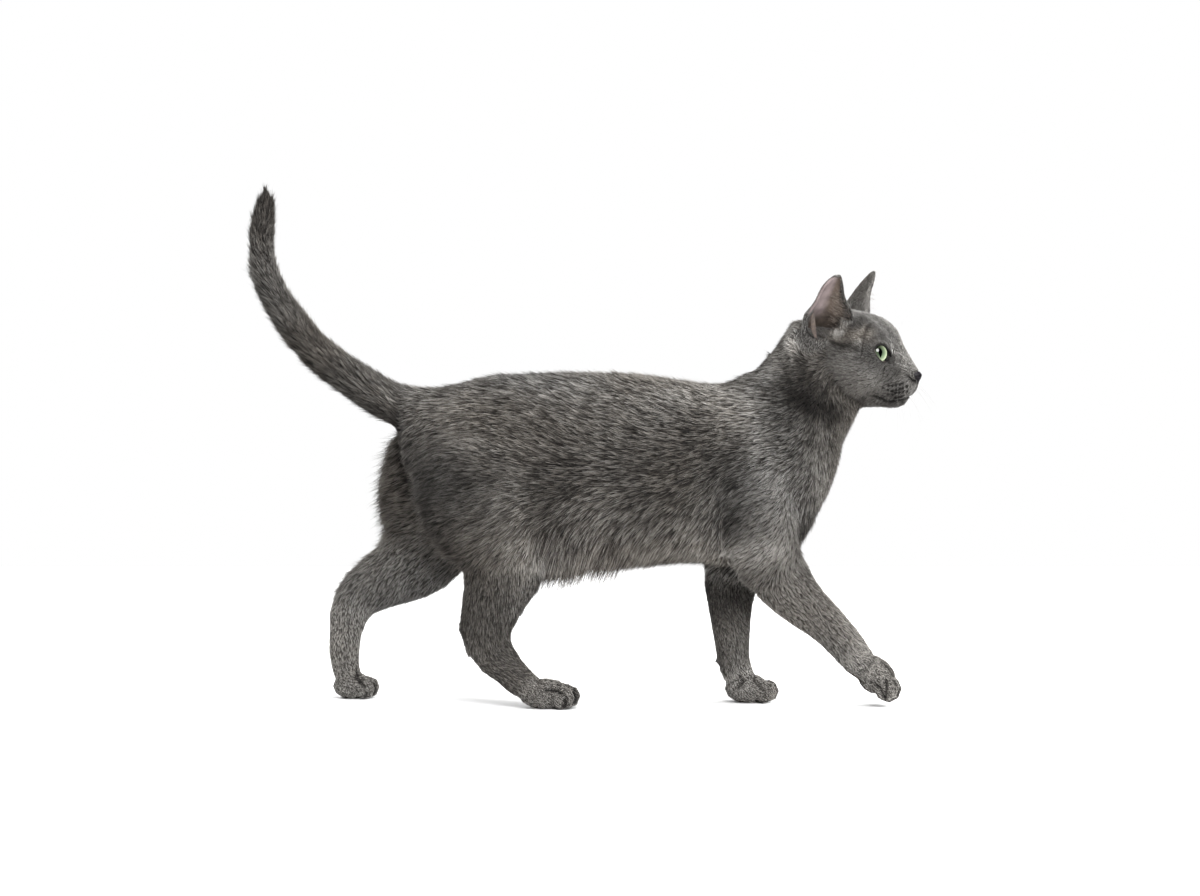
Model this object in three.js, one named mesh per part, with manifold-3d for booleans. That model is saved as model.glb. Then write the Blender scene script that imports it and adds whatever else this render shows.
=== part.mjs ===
// A short-haired grey cat at life size, walking: three feet on the floor and the right fore foot just above it.
// Millimetres, +Z up, +X ahead of the cat, +Y to its left, the floor at z = 0.
// The body is drawn as ribs. Each rib is an oval across the body, and a loft skins them.
// Each part is cut clear of the part that it grows from, so that neighbours meet face to face.

import * as THREE from 'three';
import { LoftGeometry } from 'three/addons/geometries/LoftGeometry.js';
import { mergeVertices } from 'three/addons/utils/BufferGeometryUtils.js';
import Module from 'manifold-3d';

const wasm = await Module();
wasm.setup();
const { Manifold, Mesh } = wasm;

const GAP = 0.3; // left between pieces that touch
const UP = new THREE.Vector3(0, 0, 1);
const ASIDE = new THREE.Vector3(0, 1, 0);
const { degToRad, lerp, smoothstep } = THREE.MathUtils;

// ---------------------------------------------------------------- sizes

// Trunk and neck, rump to poll: back line x, z; belly line x, z; half-width; how low the widest level lies.
const TRUNK = [
  [-163, 243, -163, 228, 7, 0],
  [-157, 254, -161, 202, 22, 0.02],
  [-138, 254, -142, 168, 33, 0.04],
  [-116, 256, -116, 136, 40, 0.06],
  [-88, 263, -86, 117, 46, 0.08],
  [-48, 265, -44, 105, 51, 0.1],
  [0, 266, 0, 113, 53, 0.1],
  [40, 263, 40, 114, 51, 0.08],
  [76, 258, 84, 111, 47, 0.04],
  [98, 257, 133, 111, 44, 0.02],
  [112, 262, 162, 127, 41, 0],
  [126, 270, 177, 156, 37, 0],
  [136, 279, 187, 177, 34, 0],
  [144, 290, 192, 199, 32, 0],
  [152, 300, 198, 218, 31, 0],
  [164, 306.5, 206, 229, 29, 0],
  [178, 304, 211, 240, 22, 0],
];
const NECK_RIB = 11; // the neck begins at this rib
const TRUNK_STEP = 17;
const TRUNK_ROUND = 20;

// Tail, root to tip: middle x, z; depth of the coat across it; half-width.
const TAIL = [
  [-148, 233, 38, 15],
  [-166, 240, 37, 17],
  [-180, 248, 34.5, 16],
  [-197, 259, 32, 15],
  [-216, 272, 31, 14.5],
  [-232, 287, 30, 14],
  [-246, 304, 28.5, 13.5],
  [-258, 322, 26, 12.5],
  [-267, 341, 24.5, 12],
  [-270.5, 358, 23.5, 11.5],
  [-270.5, 374, 21.5, 10.5],
  [-269, 390, 19.5, 9.5],
  [-267.5, 402, 15, 7.5],
  [-268, 411, 4, 2],
];
const TAIL_PARTS = { tail_base: 0, tail_middle: 5, tail_tip: 9 }; // the rib that each length begins at

// Girths of the legs, root to foot: depth fore and aft, half-width.
const GIRTHS = {
  front: [
    [30, 6],
    [58, 15],
    [64, 20],
    [58, 19],
    [46, 15.5],
    [36, 13],
    [30, 11.5],
    [27, 11],
    [27, 12],
    [19, 11],
  ],
  hind: [
    [40, 6],
    [80, 19],
    [94, 25],
    [86, 24],
    [68, 19],
    [50, 15.5],
    [42, 13],
    [36, 11.5],
    [26, 11],
    [25, 11.5],
    [18, 11],
  ],
};
// The rib that each part of a leg begins at.
const LEG_PARTS = {
  front: { upper_arm: 0, forearm: 4, paw: 8 },
  hind: { thigh: 0, shank: 4, metatarsus: 7, paw: 9 },
};
const LEG_STEP = 13;
const LEG_ROUND = 14;

// Middle of each leg at those girths: x, y, z, and how much deeper than its girth it is there.
const LEGS = {
  front_right: [
    [118, -20, 236],
    [122, -26, 198],
    [124, -28, 162],
    [127, -29, 129.5, 1],
    [140, -28, 105, 4],
    [156.5, -25, 84.5, 4],
    [175.5, -22, 68, 3],
    [191, -20, 52.5, 2.5],
    [201, -19, 40, 2.5],
    [210, -18, 29, 2],
  ],
  front_left: [
    [118, 20, 236],
    [120, 26, 198],
    [117, 26, 162],
    [112, 23, 128],
    [106, 17, 98],
    [105, 13, 75],
    [106, 10, 53],
    [107, 8, 37],
    [110, 7, 24],
    [118, 6, 14],
  ],
  hind_right: [
    [-112, -18, 240],
    [-108, -25, 210],
    [-97, -29, 172],
    [-83, -31, 138],
    [-76, -32, 111.5, 3],
    [-83.5, -31, 84],
    [-89.5, -31, 61, 1],
    [-85, -31, 45],
    [-70.5, -30, 29],
    [-60, -30, 19],
    [-50, -30, 13],
  ],
  hind_left: [
    [-124, 18, 240],
    [-129, 25, 208],
    [-132.5, 29, 172],
    [-137, 31, 138],
    [-150, 32, 114.5, 3],
    [-171, 32, 99.5, 3],
    [-188, 32, 90, 3],
    [-202, 31, 76, 1],
    [-208, 31, 50],
    [-208, 30, 26],
    [-204, 30, 14],
  ],
};

// Each foot: middle of its underside; length, width and height; turn in plan, and pitch, toes down, in degrees.
const FEET = {
  front_right: { at: [212, -18, 13.2], size: [44, 30, 27], turn: -5, pitch: 41 },
  front_left: { at: [121.9, 6, 0], size: [43.5, 30, 23.5], turn: 4, pitch: 0 },
  hind_right: { at: [-39.3, -30, 0], size: [49, 27, 24], turn: -3, pitch: 0 },
  hind_left: { at: [-198.7, 30, 0], size: [38, 27, 22], turn: 2, pitch: 0 },
};
const CARPAL_PAD = 3.4; // radius of the stopper pad behind each wrist
const CARPAL_PADS = { front_right: [181, -22, 47], front_left: [95.5, 9, 33] };

// The head is drawn level and facing ahead, about its own middle, then turned and set on the neck.
const HEAD = { at: [198, 0, 281], yaw: -25, roll: 6.5 }; // turns in degrees
const HEAD_RINGS = 31;
const HEAD_ROUND = 30;
const HEAD_CORES = { front: [36, 0, -21], back: [-6, 0, 0] }; // each ring is cast from a point between these
// Forms that blend into the head. Paired ones stand at both sides.
const SKULL = [
  { ball: [-4, 0, 3], size: [40, 32, 31], soft: 0 },
  { ball: [18, 0, 8], size: [24, 24, 20], soft: 8 },
  { ball: [21, 17, 11], size: [13, 10, 9], soft: 8, pair: true },
  { bone: [32, 0, 6, 11.4], to: [51.5, 0, -19, 6.5], soft: 6 },
  { bone: [22, 0, -19, 19], to: [43, 0, -26, 12], soft: 8 },
  { ball: [4, 20, -14], size: [30, 17, 22], soft: 10, pair: true },
  { bone: [-8, 0, -24, 22], to: [30, 0, -33, 12], soft: 8 },
  { ball: [43.2, 8.5, -27.5], size: [10.4, 9, 9], soft: 6, pair: true },
  { ball: [37, 0, -38.5], size: [11, 9.5, 7], soft: 3 },
  { ball: [-13, 22, 15], size: [17, 13, 14], soft: 8, pair: true },
];
const EYE = { at: [27.5, 18, -1], radius: 10.4, lid: 1.4, out: 26, up: 5 };
// The opening between the lids, from the eye's middle: towards the nose, up. Curves run between the corners.
const LIDS = {
  outer: [-8.6, 2],
  upper: [-5.5, 9.6, 5.5, 9],
  inner: [8, -4.2],
  lower: [5, -9.8, -5.6, -9],
};
// The mouth, from the middle of the lip to its corner: degrees round from ahead, level.
const MOUTH = [
  [0, -35.5],
  [15, -36.5],
  [32, -38.3],
  [50, -39],
  [72, -38.6],
  [95, -36.5],
  [112, -33.8],
];
const MOUTH_CORE = 32; // how far ahead of the head's middle those turns are taken
const PHILTRUM = [-26, -28.5, -31, -33.5, -35.5]; // its levels, down from the nose to the lip
const MOUTH_CUT = 0.9;
// The nose leather, top to bottom: z; front x; half-width.
const NOSE = [
  [-16, 55.5, 3],
  [-17.2, 58.6, 5.6],
  [-19.6, 60.3, 6.4],
  [-22.2, 59.4, 5.8],
  [-24.8, 57.8, 3],
  [-26.8, 56, 1.2],
];
const NOSE_BACK = 50;
const NOSTRILS = [
  { at: [60, 3.2, -20.8], size: [2.6, 1.6, 1.5] },
  { at: [57.3, 5.6, -21.8], size: [2.8, 1.8, 0.8] },
];
const EAR_RINGS = 8;
const EAR_ROUND = 14;
const EAR = {
  root: [-11, 22, 5],
  tip: [10, 47.5, 62.3],
  width: 22,
  depth: 10,
  taper: 8, // how much narrower its root is
  flare: { left: 0, right: 5.5 }, // how far the root of each spreads out and back
  wall: 1.8,
  open: 52, // degrees out from straight ahead
  bow: 2,
  cup: 0.19, // where the cup begins, as a share of the ear's length
};

// ---------------------------------------------------------------- solids

function solid(geometry, place = new THREE.Matrix4()) {
  const bare = new THREE.BufferGeometry();
  bare.setAttribute('position', geometry.getAttribute('position').clone());
  bare.setIndex(geometry.index);
  const welded = mergeVertices(bare.applyMatrix4(place), 1e-3);
  const turned = place.determinant() < 0;
  const triVerts = [];
  const index = welded.index.array;
  for (let i = 0; i < index.length; i += 3) {
    const [a, b, c] = index.slice(i, i + 3);
    if (a !== b && b !== c && c !== a) triVerts.push(...(turned ? [a, c, b] : [a, b, c]));
  }
  const vertProperties = welded.getAttribute('position').array;
  return new Manifold(new Mesh({ numProp: 3, vertProperties, triVerts: new Uint32Array(triVerts) }));
}

const join = (...solids) => solids.reduce((a, b) => a.add(b));
const cut = (made, ...tools) => largest(tools.reduce((a, b) => a.subtract(b), made));

function largest(made) {
  return made.decompose().sort((a, b) => b.volume() - a.volume())[0];
}

// What lies ahead of a plane through a point, less half the gap. What lies behind it is the other piece.
function ahead(made, { point, normal }) {
  const n = normal.clone().normalize();
  return largest(made.trimByPlane(n.toArray(), n.dot(point) + GAP / 2));
}

function behind(made, { point, normal }) {
  return ahead(made, { point, normal: normal.clone().negate() });
}

// Parts a limb at its joints. Gives each piece its name, from the root on.
function parted(made, joint, parts) {
  const pieces = {};
  let rest = made;
  const names = Object.keys(parts);
  names.slice(1).forEach((name, i) => {
    const plane = joint(parts[name]);
    pieces[names[i]] = behind(rest, plane);
    rest = ahead(rest, plane);
  });
  pieces[names.at(-1)] = rest;
  return pieces;
}

function ball(at, size, wide = 14, high = 9) {
  const geometry = new THREE.SphereGeometry(1, wide, high);
  return solid(geometry.scale(...size).translate(...at));
}

const skin = (sections) => new LoftGeometry(sections, { capStart: true, capEnd: true });

// ---------------------------------------------------------------- ribs

// Runs smoothly through the rows of a table, timed by the distance between their places.
function fair(rows, place, step) {
  const times = [0];
  for (let i = 1; i < rows.length; i++) {
    times.push(times[i - 1] + place(rows[i]).distanceTo(place(rows[i - 1])));
  }
  const curve = new THREE.CubicInterpolant(times, rows.flat(), rows[0].length);
  const count = Math.round(times.at(-1) / step);
  const at = (time) => Array.from(curve.evaluate(time));
  return { times, at, rows: Array.from({ length: count + 1 }, (_, i) => at((times.at(-1) * i) / count)) };
}

// Fills out an oval: a power of 1 leaves an ellipse, less makes it squarer.
const full = (value, power) => Math.sign(value) * Math.abs(value) ** power;

const ring = (count, point) => Array.from({ length: count }, (_, i) => point((2 * Math.PI * i) / count));

function trunk(grow = 0) {
  const middle = ([bx, bz, vx, vz]) => new THREE.Vector3((bx + vx) / 2, 0, (bz + vz) / 2);
  const rib = ([bx, bz, vx, vz, half, low]) => {
    const over = grow / Math.hypot(vx - bx, vz - bz);
    return ring(TRUNK_ROUND, (angle) => {
      const down = 0.5 - (0.5 + over) * full(Math.cos(angle), 0.94) + low * Math.sin(angle) ** 2;
      const side = (half + grow) * full(Math.sin(angle), 0.94);
      return new THREE.Vector3(lerp(bx, vx, down), -side, lerp(bz, vz, down));
    });
  };
  return solid(skin(fair(TRUNK, middle, TRUNK_STEP).rows.map(rib)));
}

// The plane of one of the trunk's ribs, facing ahead.
function ribPlane([bx, bz, vx, vz]) {
  return { point: new THREE.Vector3(bx, 0, bz), normal: new THREE.Vector3(bz - vz, 0, vx - bx) };
}

// A limb: rows of x, y, z, depth, half-width. Its ribs stand square to its line as seen from the side.
function limb(rows, step, around, grow = 0) {
  const track = fair(rows, (row) => new THREE.Vector3(row[0], 0, row[2]), step);
  const points = track.rows.map((row) => new THREE.Vector3(...row));
  const ribs = track.rows.map((row, i) => {
    const next = points[Math.min(i + 1, points.length - 1)];
    const along = new THREE.Vector3().subVectors(next, points[Math.max(i - 1, 0)]).setY(0).normalize();
    const fore = new THREE.Vector3().crossVectors(ASIDE, along);
    const middle = points[i].clone().addScaledVector(along, i ? 0 : -grow);
    return ring(around, (angle) =>
      middle
        .clone()
        .addScaledVector(fore, (row[3] / 2 + grow) * full(Math.cos(angle), 0.95))
        .addScaledVector(ASIDE, (row[4] + grow) * full(Math.sin(angle), 0.95)),
    );
  });
  // The plane square to the limb at one of its rows.
  const joint = (row) => {
    const [before, here, after] = [-2, 0, 2].map((nudge) => track.at(track.times[row] + nudge));
    return {
      point: new THREE.Vector3(here[0], 0, here[2]),
      normal: new THREE.Vector3(after[0] - before[0], 0, after[2] - before[2]),
    };
  };
  return { made: solid(skin(ribs)), joint };
}

function tail() {
  return limb(TAIL.map(([x, z, depth, half]) => [x, 0, z, depth, half]), 9, 16);
}

// ---------------------------------------------------------------- legs

const kind = (name) => name.split('_')[0];

function leg(name, grow) {
  const rows = LEGS[name].map(([x, y, z, deeper = 0], i) => {
    const [depth, half] = GIRTHS[kind(name)][i];
    return [x, y, z, depth + deeper, half];
  });
  return limb(rows, LEG_STEP, LEG_ROUND, grow);
}

// A foot, drawn on the floor and pointing ahead: its body, its heel pad, and four toes with clefts between them.
function foot({ at, size: [length, width, height], turn, pitch }) {
  const body = ball([-length * 0.08, 0, height * 0.47], [length * 0.43, width * 0.46, height * 0.52], 12, 7);
  const heel = ball([-length * 0.06, 0, height * 0.06], [length * 0.2, width * 0.26, height * 0.14], 8, 5);
  const toes = [-1.5, -0.5, 0.5, 1.5].map((place) => {
    const geometry = new THREE.SphereGeometry(1, 8, 5);
    geometry.scale(length * 0.22, width * 0.15, height * 0.41).rotateZ(place * 0.12);
    const reach = length * (Math.abs(place) > 1 ? 0.2 : 0.28);
    return solid(geometry.translate(reach, place * width * 0.23, height * 0.4));
  });
  const turned = new THREE.Euler(0, degToRad(pitch), degToRad(turn), 'ZYX');
  const place = new THREE.Matrix4().makeRotationFromEuler(turned).setPosition(...at);
  return join(body, heel, ...toes).transform(place.elements);
}

// A leg with its foot, flat where it stands on the floor, in its parts.
function legParts(name) {
  const { made, joint } = leg(name);
  const pieces = [made, foot(FEET[name])];
  if (CARPAL_PADS[name]) pieces.push(ball(CARPAL_PADS[name], [CARPAL_PAD, CARPAL_PAD, CARPAL_PAD], 8, 6));
  const whole = join(...pieces).trimByPlane(UP.toArray(), 0);
  const parts = parted(whole, joint, LEG_PARTS[kind(name)]);
  return Object.entries(parts).map(([part, piece]) => [`${name}_${part}`, piece]);
}

// ---------------------------------------------------------------- head

function softMin(a, b, soft) {
  const near = soft > 0 ? Math.max(soft - Math.abs(a - b), 0) ** 2 / soft : 0;
  return Math.min(a, b) - near / 4;
}

function ballField(p, at, size) {
  const q = p.map((v, i) => (v - at[i]) / size[i]);
  const reach = Math.hypot(...q);
  const slope = Math.hypot(...q.map((v, i) => v / size[i]));
  return slope > 0 ? (reach * (reach - 1)) / slope : -Math.min(...size);
}

function boneField(p, [ax, ay, az, ar], [bx, by, bz, br]) {
  const line = new THREE.Line3(new THREE.Vector3(ax, ay, az), new THREE.Vector3(bx, by, bz));
  const here = new THREE.Vector3(...p);
  const t = line.closestPointToPointParameter(here, true);
  return line.at(t, new THREE.Vector3()).distanceTo(here) - lerp(ar, br, t);
}

// Distance to the soft union of the skull's forms and the eyelids.
function headField(p) {
  const mirrored = [p[0], Math.abs(p[1]), p[2]];
  let field = Infinity;
  for (const form of SKULL) {
    const q = form.pair ? mirrored : p;
    const one = form.ball ? ballField(q, form.ball, form.size) : boneField(q, form.bone, form.to);
    field = softMin(field, one, form.soft);
  }
  const lids = Math.hypot(...mirrored.map((v, i) => v - EYE.at[i])) - EYE.radius - EYE.lid;
  return softMin(field, lids, 2.5);
}

// The point of the head's surface, grown by some depth, that a line from a core point meets on its way in.
function cast(core, direction, grow = 0) {
  const at = (t) => core.map((v, i) => v + direction[i] * t);
  let inner = 95;
  while (headField(at(inner)) > grow && inner > 0) inner -= 2;
  let outer = inner + 2;
  for (let i = 0; i < 12; i++) {
    const half = (inner + outer) / 2;
    if (headField(at(half)) > grow) outer = half;
    else inner = half;
  }
  return new THREE.Vector3(...at(inner));
}

// Rings from the nose to the back of the skull.
function skull(grow = 0) {
  const { front, back } = HEAD_CORES;
  const rings = Array.from({ length: HEAD_RINGS + 1 }, (_, i) => {
    const share = i / HEAD_RINGS;
    const polar = Math.PI * lerp(0.012, 0.988, share);
    const slide = smoothstep(share, 0.05, 0.75);
    const core = front.map((v, k) => lerp(v, back[k], slide));
    const [along, across] = [Math.cos(polar), Math.sin(polar)];
    return ring(HEAD_ROUND, (angle) =>
      cast(core, [along, across * Math.cos(angle), -across * Math.sin(angle)], grow),
    );
  });
  return solid(skin(rings));
}

// A round groove along points, for the lips to meet in.
function groove(points, radius) {
  const path = new THREE.CatmullRomCurve3(points);
  const dot = new THREE.Shape().absarc(0, 0, radius, 0, 2 * Math.PI);
  const options = { extrudePath: path, steps: 2 * points.length, curveSegments: 3, bevelEnabled: false };
  return solid(new THREE.ExtrudeGeometry(dot, options));
}

function mouth() {
  const middle = PHILTRUM.map((z) => cast([MOUTH_CORE, 0, z], [1, 0, 0]));
  const edge = (side) =>
    MOUTH.map(([turn, z]) => {
      const aside = degToRad(turn * side);
      return cast([MOUTH_CORE, 0, z], [Math.cos(aside), Math.sin(aside), 0]);
    });
  const lip = [...edge(-1).slice(1).reverse(), ...edge(1)];
  return join(groove(lip, MOUTH_CUT), groove(middle, MOUTH_CUT * 0.7));
}

const mirror = (side) => new THREE.Matrix4().makeScale(1, side, 1);

// The block that opens the lids: an almond that faces along the eye's aim.
function lidOpening(side) {
  const { outer, inner, upper, lower } = LIDS;
  const almond = new THREE.Shape().moveTo(...outer);
  almond.bezierCurveTo(...upper, ...inner).bezierCurveTo(...lower, ...outer);
  const block = new THREE.ExtrudeGeometry(almond, { depth: 16, curveSegments: 7, bevelEnabled: false });
  const aim = new THREE.Vector3(1, 0, Math.tan(degToRad(EYE.up))).applyAxisAngle(UP, degToRad(EYE.out)).normalize();
  const noseward = new THREE.Vector3().crossVectors(aim, UP).normalize();
  const above = new THREE.Vector3().crossVectors(noseward, aim);
  const place = new THREE.Matrix4().makeBasis(noseward, above, aim).setPosition(...EYE.at);
  return solid(block.translate(0, 0, EYE.radius / 2), place.premultiply(mirror(side)));
}

function nose(grow = 0) {
  const ribs = NOSE.map(([z, front, half], i) => {
    const lift = grow * (i === 0) - grow * (i === NOSE.length - 1);
    return ring(14, (angle) => {
      const reach = Math.cos(angle) > 0 ? (front - NOSE_BACK + grow) * Math.cos(angle) ** 0.8 : 0;
      return new THREE.Vector3(NOSE_BACK + reach, (half + grow) * full(Math.sin(angle), 0.85), z + lift);
    });
  });
  return solid(skin(ribs.reverse()));
}

// An ear: a leaf that is round at the tip, and the cup to be cut into the side that faces ahead and out.
function ear(side) {
  const root = new THREE.Vector3(...EAR.root);
  const along = new THREE.Vector3(...EAR.tip).sub(root);
  const open = new THREE.Vector3(1, 0, 0).applyAxisAngle(UP, degToRad(EAR.open));
  const facing = open.projectOnPlane(along.clone().normalize()).normalize();
  const across = new THREE.Vector3().crossVectors(facing, along).normalize();
  const leaf = (from, power, sizes) => {
    const ribs = Array.from({ length: EAR_RINGS + 1 }, (_, i) => {
      const share = from + (1 - from) * Math.sin((i / EAR_RINGS) * (Math.PI / 2));
      const { half, depth, shift } = sizes(share);
      const bow = shift - EAR.bow * Math.sin(Math.PI * share);
      const middle = root.clone().addScaledVector(along, share).addScaledVector(facing, bow);
      middle.addScaledVector(across, -EAR.flare[side > 0 ? 'left' : 'right'] * (1 - share));
      return ring(EAR_ROUND, (angle) =>
        middle
          .clone()
          .addScaledVector(across, half * full(Math.cos(angle), power))
          .addScaledVector(facing, depth * full(Math.sin(angle), power)),
      );
    });
    return solid(skin(ribs), mirror(side));
  };
  const outer = (share) => ({
    half: (EAR.width - EAR.taper * smoothstep(0.42 - share, 0, 0.42)) * (1 - share) ** 0.75 + 1.5,
    depth: EAR.depth * (1 - share) ** 0.8 + 1.2,
    shift: 0,
  });
  const inner = (share) => {
    const { half, depth } = outer(share);
    const shift = depth * 0.55;
    return { half: Math.max(half - EAR.wall, 0.3), depth: depth + shift - EAR.wall, shift };
  };
  return { leaf: leaf(0, 1, outer), cup: leaf(EAR.cup, 0.85, inner) };
}

const headTurn = new THREE.Euler(degToRad(HEAD.roll), 0, degToRad(HEAD.yaw), 'ZYX');
const headPlace = new THREE.Matrix4().makeRotationFromEuler(headTurn).setPosition(...HEAD.at);
const onNeck = (made) => made.transform(headPlace.elements);

const eyeball = (side, grow = 0) => {
  const radius = EYE.radius + grow;
  return ball([EYE.at[0], EYE.at[1] * side, EYE.at[2]], [radius, radius, radius], 18, 12);
};

function face() {
  const nostrils = [1, -1].flatMap((side) =>
    NOSTRILS.map(({ at: [x, y, z], size }) => ball([x, y * side, z], size, 10, 6)),
  );
  const openings = [1, -1].flatMap((side) => [eyeball(side, GAP), lidOpening(side)]);
  return {
    head: cut(skull(), ...openings, ear(1).cup, ear(-1).cup, mouth(), nose(GAP)),
    nose: cut(nose(), ...nostrils),
  };
}

// ---------------------------------------------------------------- the cat

const paint = (color, roughness) => new THREE.MeshStandardMaterial({ color, roughness, metalness: 0 });
const COAT = paint('#5f5d5a', 0.85);
const EAR_SKIN = paint('#6b5f5b', 0.8);
const LEATHER = paint('#4a4349', 0.5);
const EYE_GREEN = paint('#8fa06b', 0.1);

function mesh(name, made, material) {
  const { vertProperties, triVerts } = made.getMesh();
  const geometry = new THREE.BufferGeometry();
  geometry.setAttribute('position', new THREE.BufferAttribute(vertProperties, 3));
  geometry.setIndex(new THREE.BufferAttribute(triVerts, 1));
  geometry.computeVertexNormals();
  const shown = new THREE.Mesh(geometry, material);
  shown.name = name;
  return shown;
}

const { head, nose: leather } = face();
const headRoom = onNeck(skull(GAP));
const legRoom = join(...Object.keys(LEGS).map((name) => leg(name, GAP).made));
const body = trunk().subtract(legRoom).subtract(headRoom);
const root = tail();
const tailParts = parted(cut(root.made, trunk(GAP), legRoom), root.joint, TAIL_PARTS);

const group = new THREE.Group();
group.add(mesh('torso', behind(body, ribPlane(TRUNK[NECK_RIB])), COAT));
group.add(mesh('neck', ahead(body, ribPlane(TRUNK[NECK_RIB])), COAT));
group.add(mesh('head', onNeck(head), COAT));
group.add(mesh('nose', onNeck(leather), LEATHER));
for (const [name, side] of [['left', 1], ['right', -1]]) {
  const { leaf, cup } = ear(side);
  group.add(mesh(`ear_${name}`, cut(onNeck(leaf.subtract(cup)), headRoom, trunk(GAP)), EAR_SKIN));
  group.add(mesh(`eye_${name}`, onNeck(eyeball(side)), EYE_GREEN));
}
for (const [name, made] of Object.entries(tailParts)) group.add(mesh(name, made, COAT));
for (const name of Object.keys(LEGS)) {
  for (const [part, made] of legParts(name)) group.add(mesh(part, made, COAT));
}

// The origin is on the floor, under the middle of the whole.
const middle = new THREE.Box3().setFromObject(group).getCenter(new THREE.Vector3());
group.position.set(-middle.x, -middle.y, 0);

export default group;
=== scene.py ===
# %% [markdown]
# A short-haired grey cat, walking, at life size. Its flesh, eyes and nose come as solids in metres, with +X
# ahead of the cat, +Y to its left and the floor at z = 0. This lesson dresses them: one skin, a coat of
# many small tufts that follow the lie of real fur, wet eyes between dark lids, a leather nose, lips,
# whiskers and pads.

# %% The cat's solids
import math

import bmesh
import bpy
import numpy as np
from mathutils import Euler, Matrix, Vector, noise
from mathutils.bvhtree import BVHTree
from mathutils.kdtree import KDTree


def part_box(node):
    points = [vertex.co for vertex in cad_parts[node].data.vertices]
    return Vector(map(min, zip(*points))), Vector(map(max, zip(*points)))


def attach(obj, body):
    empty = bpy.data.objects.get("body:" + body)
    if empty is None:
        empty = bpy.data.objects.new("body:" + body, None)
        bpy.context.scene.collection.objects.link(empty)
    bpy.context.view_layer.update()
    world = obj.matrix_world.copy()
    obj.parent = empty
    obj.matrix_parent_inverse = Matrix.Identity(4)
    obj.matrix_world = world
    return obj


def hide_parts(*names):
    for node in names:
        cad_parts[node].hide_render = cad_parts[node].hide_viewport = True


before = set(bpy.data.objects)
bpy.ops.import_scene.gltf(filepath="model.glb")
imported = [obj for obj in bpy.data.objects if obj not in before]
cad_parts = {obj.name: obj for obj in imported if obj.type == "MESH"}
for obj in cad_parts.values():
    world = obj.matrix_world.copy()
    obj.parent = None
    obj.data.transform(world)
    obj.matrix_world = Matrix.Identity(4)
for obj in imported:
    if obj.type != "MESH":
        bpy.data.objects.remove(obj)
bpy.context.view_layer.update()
MM = 0.001
dice = np.random.default_rng(7)

# %% [markdown]
# The camera stands square to the cat's side at 1.5 m, as high as its elbow, and looks level. From there the
# legs stay upright and both near and far feet show. The lens is as long as such a picture needs, so that
# the cat fills just over half of the frame.

# %% The camera
FRAME_WIDE = 1200
FOCAL = 1875  # in pixels of that frame
camera_data = bpy.data.cameras.new("camera")
camera_data.sensor_width = 36
camera_data.lens = camera_data.sensor_width * FOCAL / FRAME_WIDE
camera = bpy.data.objects.new("camera", camera_data)
camera.location = (14.03 * MM, -1.5, 204 * MM)
camera.rotation_euler = (math.radians(90), 0, 0)
scene = bpy.context.scene
scene.collection.objects.link(camera)
scene.camera = camera
print("lens:", camera_data.lens, "mm")

# %% [markdown]
# A material is a small graph of nodes. One function adds a node with its settings and what its inputs take,
# either a plain value or another node's output. A few more wrap the kinds of node that come back often:
# grain, a value read from the mesh, arithmetic, a mix and a fine relief. So each material below reads as a
# short list.

# %% How materials are made
def linear(code):
    """A colour as a screen shows it, in hex, turned to the linear light that a shader works in."""
    parts = [int(code[i : i + 2], 16) / 255 for i in (1, 3, 5)]
    return [p / 12.92 if p <= 0.04045 else ((p + 0.055) / 1.055) ** 2.4 for p in parts] + [1.0]


def node(material, kind, inputs=(), **settings):
    """A new node of a material's graph, with its settings and inputs."""
    made = material.node_tree.nodes.new("ShaderNode" + kind)
    for name, value in settings.items():
        setattr(made, name, value)
    for name, value in dict(inputs).items():
        if isinstance(value, bpy.types.NodeSocket):
            material.node_tree.links.new(value, made.inputs[name])
        else:
            made.inputs[name].default_value = value
    return made


def ramp(material, factor, stops):
    """A colour for each value of the factor, blended between stops of a place and a colour."""
    made = node(material, "ValToRGB", {"Fac": factor})
    elements = made.color_ramp.elements
    for place, code in stops[1:-1]:
        elements.new(place).color = linear(code)
    for element, (place, code) in ((elements[0], stops[0]), (elements[-1], stops[-1])):
        element.position = place
        element.color = linear(code)
    return made.outputs["Color"]


def grain(material, scale, detail=2.0, roughness=0.5):
    """Soft noise over the piece's own place in space; a larger scale gives finer grain."""
    place = node(material, "TexCoord").outputs["Object"]
    inputs = {"Vector": place, "Scale": scale, "Detail": detail, "Roughness": roughness}
    return node(material, "TexNoise", inputs).outputs["Fac"]


def read(material, name):
    """A value that is kept on the points of the mesh."""
    return node(material, "Attribute", attribute_name=name).outputs["Fac"]


def reckon(material, operation, *values):
    """One step of arithmetic on numbers or on the outputs of other nodes."""
    return node(material, "Math", dict(enumerate(values)), operation=operation).outputs["Value"]


def mixed(material, share, first, second, blend="MIX"):
    """Two colours mixed by a share, or multiplied."""
    inputs = {0: share, 6: first, 7: second}
    return node(material, "Mix", inputs, data_type="RGBA", blend_type=blend).outputs[2]


def rough(material, height, strength, depth):
    """A fine relief that only the light sees; depth is in metres."""
    bump = node(material, "Bump", {"Height": height, "Strength": strength, "Distance": depth})
    return bump.outputs["Normal"]


def new_material(name, inputs):
    """A material with one Principled shader; inputs is a function of the material, for its graph."""
    material = bpy.data.materials.new(name)
    material.use_nodes = True
    material.node_tree.nodes.clear()
    shader = node(material, "BsdfPrincipled", inputs(material))
    node(material, "OutputMaterial", {"Surface": shader.outputs["BSDF"]})
    return material


# %% [markdown]
# A studio sweep is a floor lit so evenly that it burns out to white, and only the soft shadows at
# the feet show. A white sky gives that light from all round. A large soft box ahead of the cat, near the
# camera, lights its side and shows as the bright spot in its eye. A weaker lamp hangs overhead, and two
# behind draw the light edge along neck, brow and back. Of all these only the soft box is seen in
# reflections.

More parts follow.
